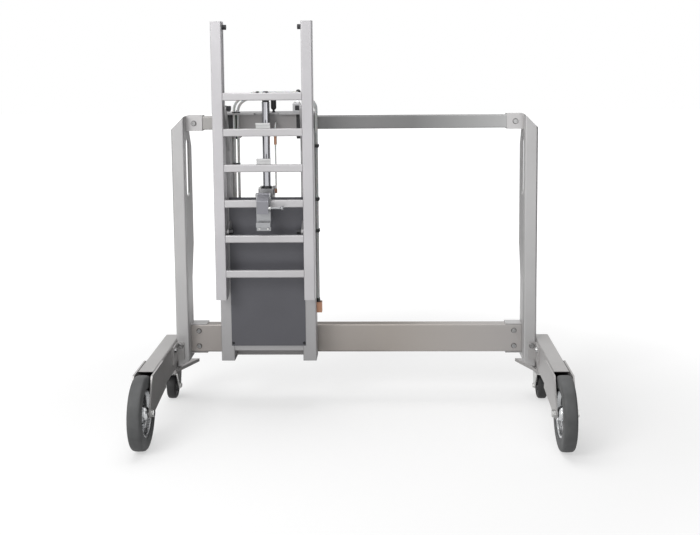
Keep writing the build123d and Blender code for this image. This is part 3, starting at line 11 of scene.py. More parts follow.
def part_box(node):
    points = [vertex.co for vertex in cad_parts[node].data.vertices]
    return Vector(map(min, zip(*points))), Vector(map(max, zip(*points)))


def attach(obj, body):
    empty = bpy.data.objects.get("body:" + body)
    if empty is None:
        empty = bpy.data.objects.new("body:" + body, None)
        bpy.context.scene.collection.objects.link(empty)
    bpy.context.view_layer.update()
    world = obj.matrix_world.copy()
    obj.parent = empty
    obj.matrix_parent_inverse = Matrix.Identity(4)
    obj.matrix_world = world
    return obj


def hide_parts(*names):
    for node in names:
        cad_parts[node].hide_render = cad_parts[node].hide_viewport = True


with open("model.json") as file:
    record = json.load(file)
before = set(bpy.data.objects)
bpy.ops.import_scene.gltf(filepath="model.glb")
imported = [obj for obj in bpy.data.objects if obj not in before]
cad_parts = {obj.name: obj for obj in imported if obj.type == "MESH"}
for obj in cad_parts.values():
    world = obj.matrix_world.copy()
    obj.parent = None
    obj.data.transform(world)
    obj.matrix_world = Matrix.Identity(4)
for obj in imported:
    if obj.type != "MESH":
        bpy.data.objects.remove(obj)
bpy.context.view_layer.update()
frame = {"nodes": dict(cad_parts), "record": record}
NODES = frame["nodes"]
SLOT_OF = {part["node"]: part["material_slot"] for part in frame["record"]["subparts"]}

# camera fitted to the photograph (metres, degrees, pixels of a 700 x 535 frame)
IMAGE_WIDTH, IMAGE_HEIGHT = 700, 535
CAMERA_PLACE = Vector((0.11284, -3.74778, 1.34542))
CAMERA_PITCH, CAMERA_YAW, CAMERA_ROLL = 6.141, -1.663, 0.52
FOCAL_PIXELS = 1062.09
PRINCIPAL = (353.21, 166.5)
SENSOR = 36.0

# materials
SATIN_METAL, SATIN_ROUGH = 0.55, 0.42
SATIN_RELIEF, BEAM_RELIEF = 0.03, 0.06
GRAIN_DEPTH = 0.0004
BEAM_REACH = 0.7      # half the length over which a beam's painted shade and painted reflection drift


class Shader:
    """Node tree of one material, with the few links that every finish needs."""

    def __init__(self, name, colour, metallic, roughness):
        self.material = bpy.data.materials.new(name)
        self.material.use_nodes = True
        self.tree = self.material.node_tree
        self.surface = self.tree.nodes["Principled BSDF"]
        self.surface.inputs["Base Color"].default_value = (*colour, 1.0)
        self.surface.inputs["Metallic"].default_value = metallic
        self.surface.inputs["Roughness"].default_value = roughness
        self.colour = colour
        self.place = self.node("ShaderNodeTexCoord").outputs["Object"]

    def node(self, kind, **settings):
        made = self.tree.nodes.new(kind)
        for key, value in settings.items():
            setattr(made, key, value)
        return made

    def link(self, source, target):
        self.tree.links.new(source, target)

    def noise(self, scale, stretch=(1, 1, 1), detail=4.0):
        """Noise in object space, drawn out along the axes where stretch is small."""
        mapping = self.node("ShaderNodeMapping")
        mapping.inputs["Scale"].default_value = stretch
        self.link(self.place, mapping.inputs["Vector"])
        noise = self.node("ShaderNodeTexNoise")
        noise.inputs["Scale"].default_value = scale
        noise.inputs["Detail"].default_value = detail
        self.link(mapping.outputs["Vector"], noise.inputs["Vector"])
        return noise.outputs["Fac"]

    def ramp(self, factor, stops):
        """Colours at places along a factor."""
        ramp = self.node("ShaderNodeValToRGB")
        while len(ramp.color_ramp.elements) < len(stops):
            ramp.color_ramp.elements.new(0.5)
        for element, (place, colour) in zip(ramp.color_ramp.elements, stops):
            element.position = place
            element.color = (*colour, 1.0)
        self.link(factor, ramp.inputs["Fac"])
        return ramp.outputs["Color"]

    def mottle(self, factor, spread):
        """Base colour that drifts a little lighter and darker."""
        dark = tuple(c * (1 - spread) for c in self.colour)
        light = tuple(min(1.0, c * (1 + spread)) for c in self.colour)
        self.link(self.ramp(factor, [(0.3, dark), (0.7, light)]), self.surface.inputs["Base Color"])

    def gloss(self, factor, low, high):
        """Roughness between two values."""
        remap = self.node("ShaderNodeMapRange")
        remap.inputs["To Min"].default_value = low
        remap.inputs["To Max"].default_value = high
        self.link(factor, remap.inputs["Value"])
        self.link(remap.outputs["Result"], self.surface.inputs["Roughness"])

    def bump(self, factor, strength, distance):
        """Fine relief."""
        bump = self.node("ShaderNodeBump")
        bump.inputs["Strength"].default_value = strength
        bump.inputs["Distance"].default_value = distance
        self.link(factor, bump.inputs["Height"])
        self.link(bump.outputs["Normal"], self.surface.inputs["Normal"])


def satin_steel(name, colour, grain, roughness=SATIN_ROUGH, metallic=SATIN_METAL):
    """Blasted or brushed metal; the grain's scale is small along the brushing."""
    shader = Shader(name, colour, metallic, roughness)
    shader.mottle(shader.noise(scale=5.0), spread=0.05)
    brushing = shader.noise(scale=1.0, stretch=grain, detail=6.0)
    shader.gloss(brushing, low=roughness - 0.07, high=roughness + 0.08)
    shader.bump(brushing, strength=SATIN_RELIEF, distance=GRAIN_DEPTH)
    return shader.material


def smooth_metal(name, colour, roughness):
    """Polished or plated metal with faint handling marks."""
    shader = Shader(name, colour, 1.0, roughness)
    shader.gloss(shader.noise(scale=40.0), low=roughness * 0.8, high=roughness * 1.4)
    return shader.material


def rubber(name, colour, roughness):
    """Rubber with a dusty bloom."""
    shader = Shader(name, colour, 0.0, roughness)
    shader.mottle(shader.noise(scale=18.0), spread=0.18)
    shader.bump(shader.noise(scale=420.0), strength=0.12, distance=0.0005)
    return shader.material


def plastic(name, colour, roughness):
    """Moulded or machined plastic with a fine texture."""
    shader = Shader(name, colour, 0.0, roughness)
    shader.mottle(shader.noise(scale=30.0), spread=0.12)
    fine = shader.noise(scale=600.0)
    shader.gloss(fine, low=roughness - 0.05, high=roughness + 0.08)
    shader.bump(fine, strength=0.08, distance=0.0003)
    return shader.material


def clear_hose(name, colour):
    """Milky air hose that lets some light through."""
    shader = Shader(name, colour, metallic=0.0, roughness=0.22)
    shader.surface.inputs["Transmission Weight"].default_value = 0.25
    shader.surface.inputs["Subsurface Weight"].default_value = 0.1
    shader.mottle(shader.noise(scale=60.0), spread=0.05)
    return shader.material


def beam_painted_light(name, colour, grain, stops):
    """Satin steel with painted shade and painted reflection whose tone drifts along the beam, as it does in
    the photograph.
    """
    shader = Shader(name, colour, SATIN_METAL, SATIN_ROUGH)
    split = shader.node("ShaderNodeSeparateXYZ")
    shader.link(shader.place, split.inputs["Vector"])
    along = shader.node("ShaderNodeMapRange")
    along.inputs["From Min"].default_value = -BEAM_REACH
    along.inputs["From Max"].default_value = BEAM_REACH
    shader.link(split.outputs["X"], along.inputs["Value"])
    shader.link(shader.ramp(along.outputs["Result"], stops), shader.surface.inputs["Base Color"])
    brushing = shader.noise(scale=1.0, stretch=grain, detail=6.0)
    shader.gloss(brushing, low=0.36, high=0.5)
    shader.bump(brushing, strength=BEAM_RELIEF, distance=GRAIN_DEPTH)
    return shader.material


UPRIGHT_GRAIN = (260, 260, 5)
LEVEL_GRAIN = (5, 260, 260)
BLASTED = (320, 320, 320)
MATERIALS = {
    "post_paint": satin_steel("post_steel", (0.47, 0.465, 0.465), UPRIGHT_GRAIN),
    "frame_paint": satin_steel("frame_steel", (0.44, 0.43, 0.425), BLASTED),
    "zinc": smooth_metal("zinc_plate", (0.60, 0.60, 0.59), roughness=0.28),
    "black_oxide": satin_steel("black_oxide", (0.035, 0.035, 0.038), BLASTED, roughness=0.42, metallic=0.4),
    "rubber_grey": rubber("tyre_rubber", (0.092, 0.094, 0.095), roughness=0.66),
    "rim_metal": smooth_metal("rim_steel", (0.56, 0.57, 0.58), roughness=0.24),
    "caster_rubber": rubber("caster_rubber", (0.026, 0.026, 0.027), roughness=0.62),
    "mast_alloy": satin_steel("mast_steel", (0.40, 0.395, 0.40), UPRIGHT_GRAIN),
    "black_plastic": plastic("black_plastic", (0.016, 0.016, 0.018), roughness=0.45),
    "cover_black": satin_steel(
        "cover_black", (0.105, 0.105, 0.118), LEVEL_GRAIN, roughness=0.4, metallic=0.3
    ),
    "roller_plastic": plastic("roller_nylon", (0.05, 0.05, 0.052), roughness=0.5),
    "cylinder_alloy": satin_steel(
        "cylinder_alloy", (0.45, 0.45, 0.46), UPRIGHT_GRAIN, roughness=0.34, metallic=0.8
    ),
    "hose_clear": clear_hose("air_hose", (0.74, 0.75, 0.74)),
    "brass": smooth_metal("fitting_brass", (0.38, 0.215, 0.145), roughness=0.3),
    "lift_steel": satin_steel("lift_steel", (0.525, 0.515, 0.53), UPRIGHT_GRAIN),
    "rod_chrome": smooth_metal("hard_chrome", (0.45, 0.45, 0.475), roughness=0.08),
    "grip_steel": satin_steel("grip_steel", (0.33, 0.335, 0.345), BLASTED, roughness=0.34, metallic=0.7),
}
# painted shade: the top beam is darker in its middle, where the top plate shades it, and lighter towards the
# ends
TOP_BEAM_PAINTED_SHADE = [
    (0.1, (0.36, 0.35, 0.34)), (0.42, (0.22, 0.22, 0.22)), (0.66, (0.20, 0.20, 0.20)),
    (0.95, (0.47, 0.47, 0.47)),
]
# painted reflection: a warm brownish tint along the bottom beam stands for the pallet reflected in it
BOTTOM_BEAM_PAINTED_REFLECTION = [
    (0.1, (0.43, 0.40, 0.38)), (0.6, (0.40, 0.365, 0.335)), (0.95, (0.44, 0.42, 0.41)),
]
NODE_MATERIALS = {
    "top_beam": beam_painted_light("top_beam_painted_shade", (0.3, 0.3, 0.3), LEVEL_GRAIN, TOP_BEAM_PAINTED_SHADE),
    "bottom_beam": beam_painted_light("bottom_beam_painted_reflection", (0.4, 0.4, 0.4), LEVEL_GRAIN, BOTTOM_BEAM_PAINTED_REFLECTION),
    "lift_rungs": satin_steel("rung_steel", (0.52, 0.51, 0.52), LEVEL_GRAIN),
    "beam_sockets": satin_steel("socket_steel", (0.54, 0.53, 0.53), BLASTED),
    "cross_plates": satin_steel("plate_steel", (0.30, 0.29, 0.29), LEVEL_GRAIN),
    # painted shade: the upper jaw gets a darker copy of the grip steel for its shaded front
    "upper_jaw": satin_steel("jaw_steel_painted_shade", (0.225, 0.225, 0.245), BLASTED, roughness=0.3, metallic=0.75),
    "frame_bolts": smooth_metal("bolt_steel", (0.36, 0.36, 0.36), roughness=0.2),
    "guide_lugs": MATERIALS["mast_alloy"],
    "rung_seats": satin_steel("seat_steel", (0.62, 0.62, 0.62), BLASTED),
}
EDGED = (
    "left_post", "right_post", "left_grip_plate", "right_grip_plate", "top_beam", "bottom_beam",
    "beam_sockets", "left_leg", "right_leg", "wheel_forks", "leg_angles", "left_mast_upright",
    "right_mast_upright", "top_plate", "cross_plates", "upper_slide_blocks", "lower_slide_blocks",
    "mast_foot", "mast_cover", "cylinder_ends", "valve_body", "left_lift_rail", "right_lift_rail",
    "lift_rungs", "rung_seats", "rod_bracket", "gripper_body", "upper_jaw", "caster_mounts",
    "left_caster_fork", "right_caster_fork", "left_brake_pedal", "right_brake_pedal", "guide_lugs",
)
EDGE_BREAK = 0.0007
EDGE_STEPS = 2
EDGE_ANGLE = math.radians(40)


def finish_node(name):
    """Give a CAD node its material and softly broken edges."""
    node = NODES[name]
    node.data.materials.clear()
    node.data.materials.append(NODE_MATERIALS.get(name) or MATERIALS[SLOT_OF[name]])
    if name in EDGED:
        edge = node.modifiers.new("edge", "BEVEL")
        edge.width = EDGE_BREAK
        edge.segments = EDGE_STEPS
        edge.limit_method = "ANGLE"
        edge.angle_limit = EDGE_ANGLE


for node_name in NODES:
    finish_node(node_name)


# shapes of the detail pieces, in metres
SIDES = {"left": -1, "right": 1}
X_AXIS, Z_AXIS = 0, 2
SHARP_ANGLE = math.radians(35)
SAME_POINT = 1e-6
CORNER_SHARE = 0.49     # most of an edge that the rounding of one corner takes
RIPPLE_PITCH = 0.0016
RIPPLE_TURN = 2.1
RIPPLE_DEPTH = 0.14     # share of a bead's radius
BEAD_SIDES = 10
BEAD_LEAST = 4          # fewest steps along a bead
STEP_SLACK = 0.001      # keeps a whole number of steps from being lost to rounding
BEAD_FADE = 3           # steps over which a bead thins out at its ends
BEAD_TIP = 0.25         # share of its radius that is left there


def middle(node):
    """Centre of a CAD node's box."""
    low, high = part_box(node)
    return (low + high) / 2


def add_piece(name, mesh, body, slot, material=None):
    """New mesh piece that rides on a body, with the finish of its slot if no other is given."""
    piece = bpy.data.objects.new(name, mesh)
    bpy.context.scene.collection.objects.link(piece)
    mesh.materials.append(material or MATERIALS[slot])
    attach(piece, body)
    return piece


def shade_smooth(mesh):
    """Smooth shading that stops at sharp edges."""
    mesh.polygons.foreach_set("use_smooth", [True] * len(mesh.polygons))
    mesh.set_sharp_from_angle(angle=SHARP_ANGLE)


def mesh_from(name, verts, faces):
    """Mesh with its doubled points merged and its faces turned outwards."""
    mesh = bpy.data.meshes.new(name)
    mesh.from_pydata([tuple(v) for v in verts], [], faces)
    shape = bmesh.new()
    shape.from_mesh(mesh)
    bmesh.ops.remove_doubles(shape, verts=shape.verts, dist=SAME_POINT)
    bmesh.ops.recalc_face_normals(shape, faces=shape.faces)
    shape.to_mesh(mesh)
    shape.free()
    shade_smooth(mesh)
    return mesh


def joined(name, meshes):
    """One mesh from several."""
    shape = bmesh.new()
    for mesh in meshes:
        shape.from_mesh(mesh)
        bpy.data.meshes.remove(mesh)
    whole = bpy.data.meshes.new(name)
    shape.to_mesh(whole)
    shape.free()
    shade_smooth(whole)
    return whole


def spun(name, centre, axis, profile, steps):
    """Closed ring of profile points (distance along the axis, radius) turned round a centre."""
    axis = Vector(axis).normalized()
    side = axis.orthogonal().normalized()
    other = axis.cross(side)
    verts = []
    for step in range(steps):
        turn = 2 * math.pi * step / steps
        out = math.cos(turn) * side + math.sin(turn) * other
        verts += [Vector(centre) + along * axis + radius * out for along, radius in profile]
    count = len(profile)
    faces = []
    for step in range(steps):
        here = step * count
        there = (step + 1) % steps * count
        for point in range(count):
            following = (point + 1) % count
            faces.append((here + point, here + following, there + following, there + point))
    return mesh_from(name, verts, faces)


def rounded(points, radius, steps):
    """Closed outline with its corners rounded by short curves."""
    outline = []
    count = len(points)
    for index in range(count):
        before, here, after = (Vector(points[(index + k) % count]) for k in (-1, 0, 1))
        reach = min(radius, (before - here).length * CORNER_SHARE, (after - here).length * CORNER_SHARE)
        start = here + (before - here).normalized() * reach
        end = here + (after - here).normalized() * reach
        for step in range(steps + 1):
            t = step / steps
            outline.append(tuple((1 - t) ** 2 * start + 2 * t * (1 - t) * here + t ** 2 * end))
    return outline


def rectangle(first, second):
    """Outline between two opposite corners."""
    return [first, (second[0], first[1]), second, (first[0], second[1])]


def hexagon(centre, radius, turn):
    """Outline of a hexagon, turned by some degrees."""
    turns = [math.radians(60 * k + turn) for k in range(6)]
    return [(centre[0] + radius * math.cos(t), centre[1] + radius * math.sin(t)) for t in turns]


def prism(name, outline, low, high, axis):
    """Straight bar between two places on an axis, from an outline in the other two axes."""
    others = [k for k in range(3) if k != axis]
    verts = []
    for place in (low, high):
        for a, b in outline:
            point = [0.0, 0.0, 0.0]
            point[axis] = place
            point[others[0]] = a
            point[others[1]] = b
            verts.append(point)
    count = len(outline)
    faces = [tuple(range(count)), tuple(range(count, 2 * count))]
    faces += [(k, (k + 1) % count, count + (k + 1) % count, count + k) for k in range(count)]
    return mesh_from(name, verts, faces)


def weld(name, ends, radius, body, slot):
    """Rippled bead along a corner, half sunk in it."""
    start, end = (Vector(place) for place in ends)
    run = end - start
    ahead = run.normalized()
    side = ahead.orthogonal().normalized()
    other = ahead.cross(side)
    count = max(BEAD_LEAST, int(run.length / RIPPLE_PITCH + STEP_SLACK))
    verts = []
    for step in range(count + 1):
        fade = min(1.0, step / BEAD_FADE, (count - step) / BEAD_FADE)
        ripple = 1 - RIPPLE_DEPTH + RIPPLE_DEPTH * math.sin(step * RIPPLE_TURN)
        size = radius * ripple * (BEAD_TIP + (1 - BEAD_TIP) * fade)
        for k in range(BEAD_SIDES):
            turn = 2 * math.pi * k / BEAD_SIDES
            out = math.cos(turn) * side + math.sin(turn) * other
            verts.append(start + run * (step / count) + size * out)
    last = count * BEAD_SIDES
    faces = []
    for ring in range(0, last, BEAD_SIDES):
        for k in range(BEAD_SIDES):
            a = ring + k
            b = ring + (k + 1) % BEAD_SIDES
            faces.append((a, b, b + BEAD_SIDES, a + BEAD_SIDES))
    faces += [tuple(range(BEAD_SIDES)), tuple(range(last, last + BEAD_SIDES))]
    add_piece(name, mesh_from(name, verts, faces), body, slot)


# front wheels: solid tyre on a pressed steel rim with a plain hub and bolts
tyre_low, tyre_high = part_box("left_tyre")
TYRE_HALF = (tyre_high.x - tyre_low.x) / 2
TYRE_R = (tyre_high.z - tyre_low.z) / 2
TYRE_BEAD = 0.0822
TYRE_STEPS, RIM_STEPS = 128, 96
BOLT_COUNT = 5
BOLT_CIRCLE = 0.049
BOLT_R, BOLT_TURN = 0.0062, 20
BOLT_ENDS = ((0.0068, 0.0042), (0.0014, -0.0042))     # where a head starts, and how far it reaches
TYRE_SIDE = [
    (0.0200, TYRE_BEAD), (0.0218, 0.0850), (0.0226, 0.0900), (0.0222, 0.0925), (0.0226, 0.0950),
    (TYRE_HALF, 0.1040), (TYRE_HALF, 0.1130), (0.0226, 0.1180), (0.0212, 0.1222), (0.0186, 0.1248),
    (0.0150, 0.1260), (0.0090, 0.12665), (0.0030, TYRE_R),
]
TYRE_PROFILE = TYRE_SIDE + [(-along, radius) for along, radius in reversed(TYRE_SIDE)]
RIM_PROFILE = rounded(
    [
        (0.0255, 0.0083), (0.0258, 0.0150), (0.0225, 0.0190), (0.0160, 0.0235), (0.0060, 0.0250),
        (0.0045, 0.0330), (0.0075, 0.0420), (0.0070, 0.0560), (0.0040, 0.0660), (0.0120, 0.0720),
        (0.0185, 0.0735), (0.0196, 0.0790), (0.0196, 0.0819), (-0.0196, 0.0819), (-0.0196, 0.0790),
        (-0.0185, 0.0735), (-0.0120, 0.0720), (-0.0040, 0.0690), (-0.0010, 0.0660), (0.0010, 0.0560),
        (0.0012, 0.0420), (-0.0010, 0.0330), (-0.0060, 0.0250), (-0.0160, 0.0235), (-0.0225, 0.0190),
        (-0.0258, 0.0150), (-0.0255, 0.0083),
    ],
    radius=0.0022,
    steps=3,
)


def rim_bolts(side, hub):
    """Hexagon heads on both faces of the rim's disc."""
    heads = []
    for k in range(BOLT_COUNT):
        turn = 2 * math.pi * k / BOLT_COUNT
        place = (hub.y + BOLT_CIRCLE * math.cos(turn), hub.z + BOLT_CIRCLE * math.sin(turn))
        for face, reach in BOLT_ENDS:
            low, high = sorted((hub.x + side * face, hub.x + side * (face + reach)))
            heads.append(prism("rim_bolt", hexagon(place, BOLT_R, BOLT_TURN), low, high, X_AXIS))
    return heads


for side_name, side in SIDES.items():
    body = f"{side_name}_wheel"
    hub = middle(f"{side_name}_tyre")
    tyre_mesh = spun("tyre", hub, (side, 0, 0), TYRE_PROFILE, TYRE_STEPS)
    tyre = add_piece(f"{side_name}_tyre_solid", tyre_mesh, body, "rubber_grey")
    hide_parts(f"{side_name}_tyre")
    rim_meshes = [spun("rim", hub, (side, 0, 0), RIM_PROFILE, RIM_STEPS)] + rim_bolts(side, hub)
    rim = add_piece(f"{side_name}_rim_pressed", joined("rim", rim_meshes), body, "rim_metal")
    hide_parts(f"{side_name}_rim")

# casters: rubber tread on a dark plastic core, swivel dust ring and a ribbed pedal
TREAD_STEPS, CORE_STEPS, RING_STEPS = 80, 64, 64
RING_DROP = 0.0003          # from the underside of the caster mount
RIB_COUNT = 5
RIB_FIRST, RIB_PITCH = 0.006, 0.0065
RIB_SINK, RIB_TALL = 0.0020, 0.0012
RIB_FOOT, RIB_CREST = 0.0017, 0.0012      # half widths
RIB_HALF_LONG = 0.0195
PEDAL_DROP = 0.0005
PEDAL_SLOPE = 0.077
CORE = plastic("caster_core", (0.09, 0.09, 0.095), roughness=0.42)
TREAD_PROFILE = rounded(
    [
        (0.0150, 0.0345), (0.0178, 0.0365), (0.0180, 0.0430), (0.0130, 0.0492), (0.0045, 0.0500),
        (-0.0045, 0.0500), (-0.0130, 0.0492), (-0.0180, 0.0430), (-0.0178, 0.0365), (-0.0150, 0.0345),
    ],
    radius=0.0030,
    steps=4,
)
CORE_PROFILE = rounded(
    [
        (0.0220, 0.0051), (0.0220, 0.0115), (0.0140, 0.0130), (0.0075, 0.0150), (0.0070, 0.0290),
        (0.0140, 0.0310), (0.0152, 0.0347), (-0.0152, 0.0347), (-0.0140, 0.0310), (-0.0070, 0.0290),
        (-0.0075, 0.0150), (-0.0140, 0.0130), (-0.0220, 0.0115), (-0.0220, 0.0051),
    ],
    radius=0.0012,
    steps=3,
)
RING_PROFILE = rounded(
    [(-0.0036, 0.0295), (-0.0006, 0.0322), (-0.0070, 0.0322), (-0.0078, 0.0302)],
    radius=0.0010,
    steps=3,
)


def pedal_ribs(side_name, centre_x):
    """Low ribs across the top of a brake pedal, which slopes a little."""
    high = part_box(f"{side_name}_brake_pedal")[1]
    ribs = []
    for k in range(RIB_COUNT):
        at = high.y - RIB_FIRST - RIB_PITCH * k
        top = high.z - PEDAL_DROP - (high.y - at) * PEDAL_SLOPE
        corners = [
            (at - RIB_FOOT, top - RIB_SINK), (at + RIB_FOOT, top - RIB_SINK),
            (at + RIB_CREST, top + RIB_TALL), (at - RIB_CREST, top + RIB_TALL),
        ]
        outline = rounded(corners, radius=0.0006, steps=2)
        ribs.append(prism("rib", outline, centre_x - RIB_HALF_LONG, centre_x + RIB_HALF_LONG, X_AXIS))
    return joined("pedal_ribs", ribs)


mount_low, mount_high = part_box("caster_mounts")
for side_name in SIDES:
    hub = middle(f"{side_name}_caster_wheel")
    roll = f"{side_name}_caster_roll"
    tread_mesh = spun("tread", hub, (1, 0, 0), TREAD_PROFILE, TREAD_STEPS)
    tread = add_piece(f"{side_name}_caster_tread", tread_mesh, roll, "caster_rubber")
    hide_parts(f"{side_name}_caster_wheel")
    core_mesh = spun("core", hub, (1, 0, 0), CORE_PROFILE, CORE_STEPS)
    add_piece(f"{side_name}_caster_core", core_mesh, roll, "caster_rubber", CORE)
    king = (hub.x, (mount_low.y + mount_high.y) / 2, mount_low.z - RING_DROP)
    ring_mesh = spun("dust_ring", king, (0, 0, 1), RING_PROFILE, RING_STEPS)
    add_piece(f"{side_name}_dust_ring", ring_mesh, f"{side_name}_caster", "zinc")
    rib_mesh = pedal_ribs(side_name, hub.x)
    add_piece(f"{side_name}_pedal_ribs", rib_mesh, f"{side_name}_pedal", "black_plastic")

# air line: ferrules at the hose ends, ties round the left pair, clip screws
MAST_X = middle("mast_foot").x
HOSE_R = 0.005
LEFT_PITCH, RIGHT_PITCH = 0.015, 0.014      # between the two hoses, sideways and front to back
hose_low, hose_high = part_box("air_hoses")
LEFT_HOSES = (hose_low.x + HOSE_R, hose_low.x + HOSE_R + LEFT_PITCH)
RIGHT_HOSE_X = hose_high.x - HOSE_R
FRONT_HOSE_Y = hose_low.y + HOSE_R
HOSE_Y = FRONT_HOSE_Y + RIGHT_PITCH
LEFT_FERRULE_Z, RIGHT_FERRULE_Z = hose_low.z, 0.400
TIE_HEIGHTS = (0.48, 0.73, 0.93)
TIE_R, TIE_HALF, TIE_STEPS = 0.0060, 0.0022, 12
LOCK_HALF, LOCK_OUT, LOCK_SINK = 0.0030, 0.0020, 0.0002
CLIP_HEIGHTS = (0.997, 0.795, 0.675)
FERRULE_STEPS, HEAD_STEPS, DOME_STEPS = 32, 24, 5
HEAD_SINK = 0.0003          # how deep a head lies in what it sits on
HEAD_CORE = 0.0002          # a head's profile ends this far from its axis
HEAD_WALL = 0.25            # share of a head's height below its dome
HEAD_DOME = 0.45            # share of its radius that the dome takes up
RECESS_RIM, RECESS_FOOT = 0.42, 0.40      # shares of its radius
RECESS_FLOOR = 0.45         # share of its height
FERRULE = rounded(
    [
        (0.0, 0.0050), (0.0, 0.0067), (0.0060, 0.0067), (0.0070, 0.0060), (0.0140, 0.0060),
        (0.0150, 0.0050),
    ],
    radius=0.0006,
    steps=3,
)


def half_round(x, y, radius, first):
    """Points of a half circle that starts at an angle in degrees."""
    turns = [math.radians(first + 180 * k / TIE_STEPS) for k in range(TIE_STEPS + 1)]
    return [(x + radius * math.cos(t), y + radius * math.sin(t)) for t in turns]


def hose_tie(z):
    """Band round the left pair of hoses, and its lock in front."""
    first, second = LEFT_HOSES
    outline = half_round(first, HOSE_Y, TIE_R, 90) + half_round(second, HOSE_Y, TIE_R, -90)
    band = prism("tie", outline, z - TIE_HALF, z + TIE_HALF, Z_AXIS)
    front = HOSE_Y - TIE_R
    corners = rectangle((front - LOCK_OUT, z - LOCK_HALF), (front + LOCK_SINK, z + LOCK_HALF))
    between = (first + second) / 2
    outline = rounded(corners, radius=0.0005, steps=2)
    return band, prism("lock", outline, between - LOCK_HALF, between + LOCK_HALF, X_AXIS)


def button_head(place, axis, radius, tall):
    """Domed screw head with a round recess."""
    profile = [(-HEAD_SINK, HEAD_CORE), (-HEAD_SINK, radius), (tall * HEAD_WALL, radius)]
    for k in range(1, DOME_STEPS + 1):
        turn = math.pi / 2 * k / DOME_STEPS
        up = HEAD_WALL + (1 - HEAD_WALL) * math.sin(turn)
        out = 1 - HEAD_DOME + HEAD_DOME * math.cos(turn)
        profile.append((tall * up, radius * out))
    floor = tall * RECESS_FLOOR
    profile += [(tall, radius * RECESS_RIM), (floor, radius * RECESS_FOOT), (floor, HEAD_CORE)]
    return spun("head", place, axis, profile, HEAD_STEPS)


ferrule_places = [(x, HOSE_Y, LEFT_FERRULE_Z) for x in LEFT_HOSES]
ferrule_places += [(RIGHT_HOSE_X, y, RIGHT_FERRULE_Z) for y in (HOSE_Y, FRONT_HOSE_Y)]
ferrules = [spun("ferrule", place, (0, 0, 1), FERRULE, FERRULE_STEPS) for place in ferrule_places]
add_piece("hose_ferrules", joined("hose_ferrules", ferrules), "carriage", "black_plastic")

bands, locks = zip(*(hose_tie(z) for z in TIE_HEIGHTS))
add_piece("hose_ties", joined("hose_ties", bands + locks), "carriage", "black_plastic")

clip_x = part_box("hose_holders")[1].x
clip_y = (HOSE_Y + FRONT_HOSE_Y) / 2
clip_screws = [button_head((clip_x, clip_y, z), (1, 0, 0), radius=0.0034, tall=0.0022) for z in CLIP_HEIGHTS]
add_piece("clip_screws", joined("clip_screws", clip_screws), "carriage", "black_oxide")

# closed ends of the tubes
PLUG_INSET = 0.0039         # from a tube's outside to the side of its plug
PLUGS = (
    ("rail_caps", "lift_rail", "lift", "lift_steel", "top", (0.0070, 0.0012)),
    ("rail_plugs", "lift_rail", "lift", "black_plastic", "foot", (0.0004, 0.0060)),
    ("upright_caps", "mast_upright", "carriage", "mast_alloy", "top", (0.0060, 0.0008)),
    ("upright_plugs", "mast_upright", "carriage", "black_plastic", "foot", (0.0004, 0.0060)),
)


def tube_plug(tube, end, depths):
    """Plug inside one end of a tube, between two depths from that end."""
    low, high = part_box(tube)
    heights = [high.z - depth if end == "top" else low.z + depth for depth in depths]
    corners = rectangle((low.x + PLUG_INSET, low.y + PLUG_INSET), (high.x - PLUG_INSET, high.y - PLUG_INSET))
    return prism("cap", rounded(corners, radius=0.0020, steps=3), *heights, Z_AXIS)


for name, tube, body, slot, end, depths in PLUGS:
    caps = [tube_plug(f"{side_name}_{tube}", end, depths) for side_name in SIDES]
    add_piece(name, joined(name, caps), body, slot)

# welds
FRAME_BEAD, SOCKET_BEAD, SEAM_BEAD = 0.0026, 0.0022, 0.0009
LUG_BEAD, FOOT_BEAD, RUNG_BEAD, BRACKET_BEAD = 0.0020, 0.0022, 0.0017, 0.0020
LEG_INSET = 0.001
FORK_INSET, FORK_LEAN = 0.0005, 0.0325
FOOT_WELD_LONG = 0.109
SOCKET_WALL = 0.0042        # from a beam's face to the beads on its socket
SOCKET_DROP = 0.004
UNDER_REACH = (-0.003, 0.002)       # past the beam's front and rear face
LOWER_REACH = (0.001, 0.003)
SEAM_INSET = 0.004
LUG_OFFSETS = (("inner", 0.1335), ("outer", 0.1415))
LUG_INSET, LUG_WELD_LONG = 0.002, 0.062
MAST_FOOT_INSET = 0.002
RUNG_COUNT = 6
RUNG_HALF, RUNG_FLAT = 0.014, 0.011
RUNG_INSET = (0.003, 0.002)         # from the rung's front and rear face
BRACKET_INSET = 0.002


def level_bead(x, depths, z):
    """Ends of a bead that runs from front to back."""
    return (x, depths[0], z), (x, depths[1], z)


def upright_bead(x, y, heights):
    """Ends of a bead that runs upwards."""
    return (x, y, heights[0]), (x, y, heights[1])


def leg_welds(side_name):
    """Wheel fork and foot plate on both sides of a leg."""
    low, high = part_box(f"{side_name}_leg")
    fork_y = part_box("wheel_forks")[1].y - FORK_INSET
    foot_y = high.y - LEG_INSET
    inner, outer = sorted((low.x, high.x), key=abs)
    for place, x in (("inner", inner), ("outer", outer)):
        fork_ends = ((x, fork_y - FORK_LEAN, high.z - LEG_INSET), (x, fork_y, low.z + LEG_INSET))
        foot_ends = level_bead(x, (foot_y - FOOT_WELD_LONG, foot_y), low.z)
        weld(f"{side_name}_{place}_fork_weld", fork_ends, FRAME_BEAD, "frame", "frame_paint")
        weld(f"{side_name}_{place}_foot_weld", foot_ends, FRAME_BEAD, "frame", "frame_paint")


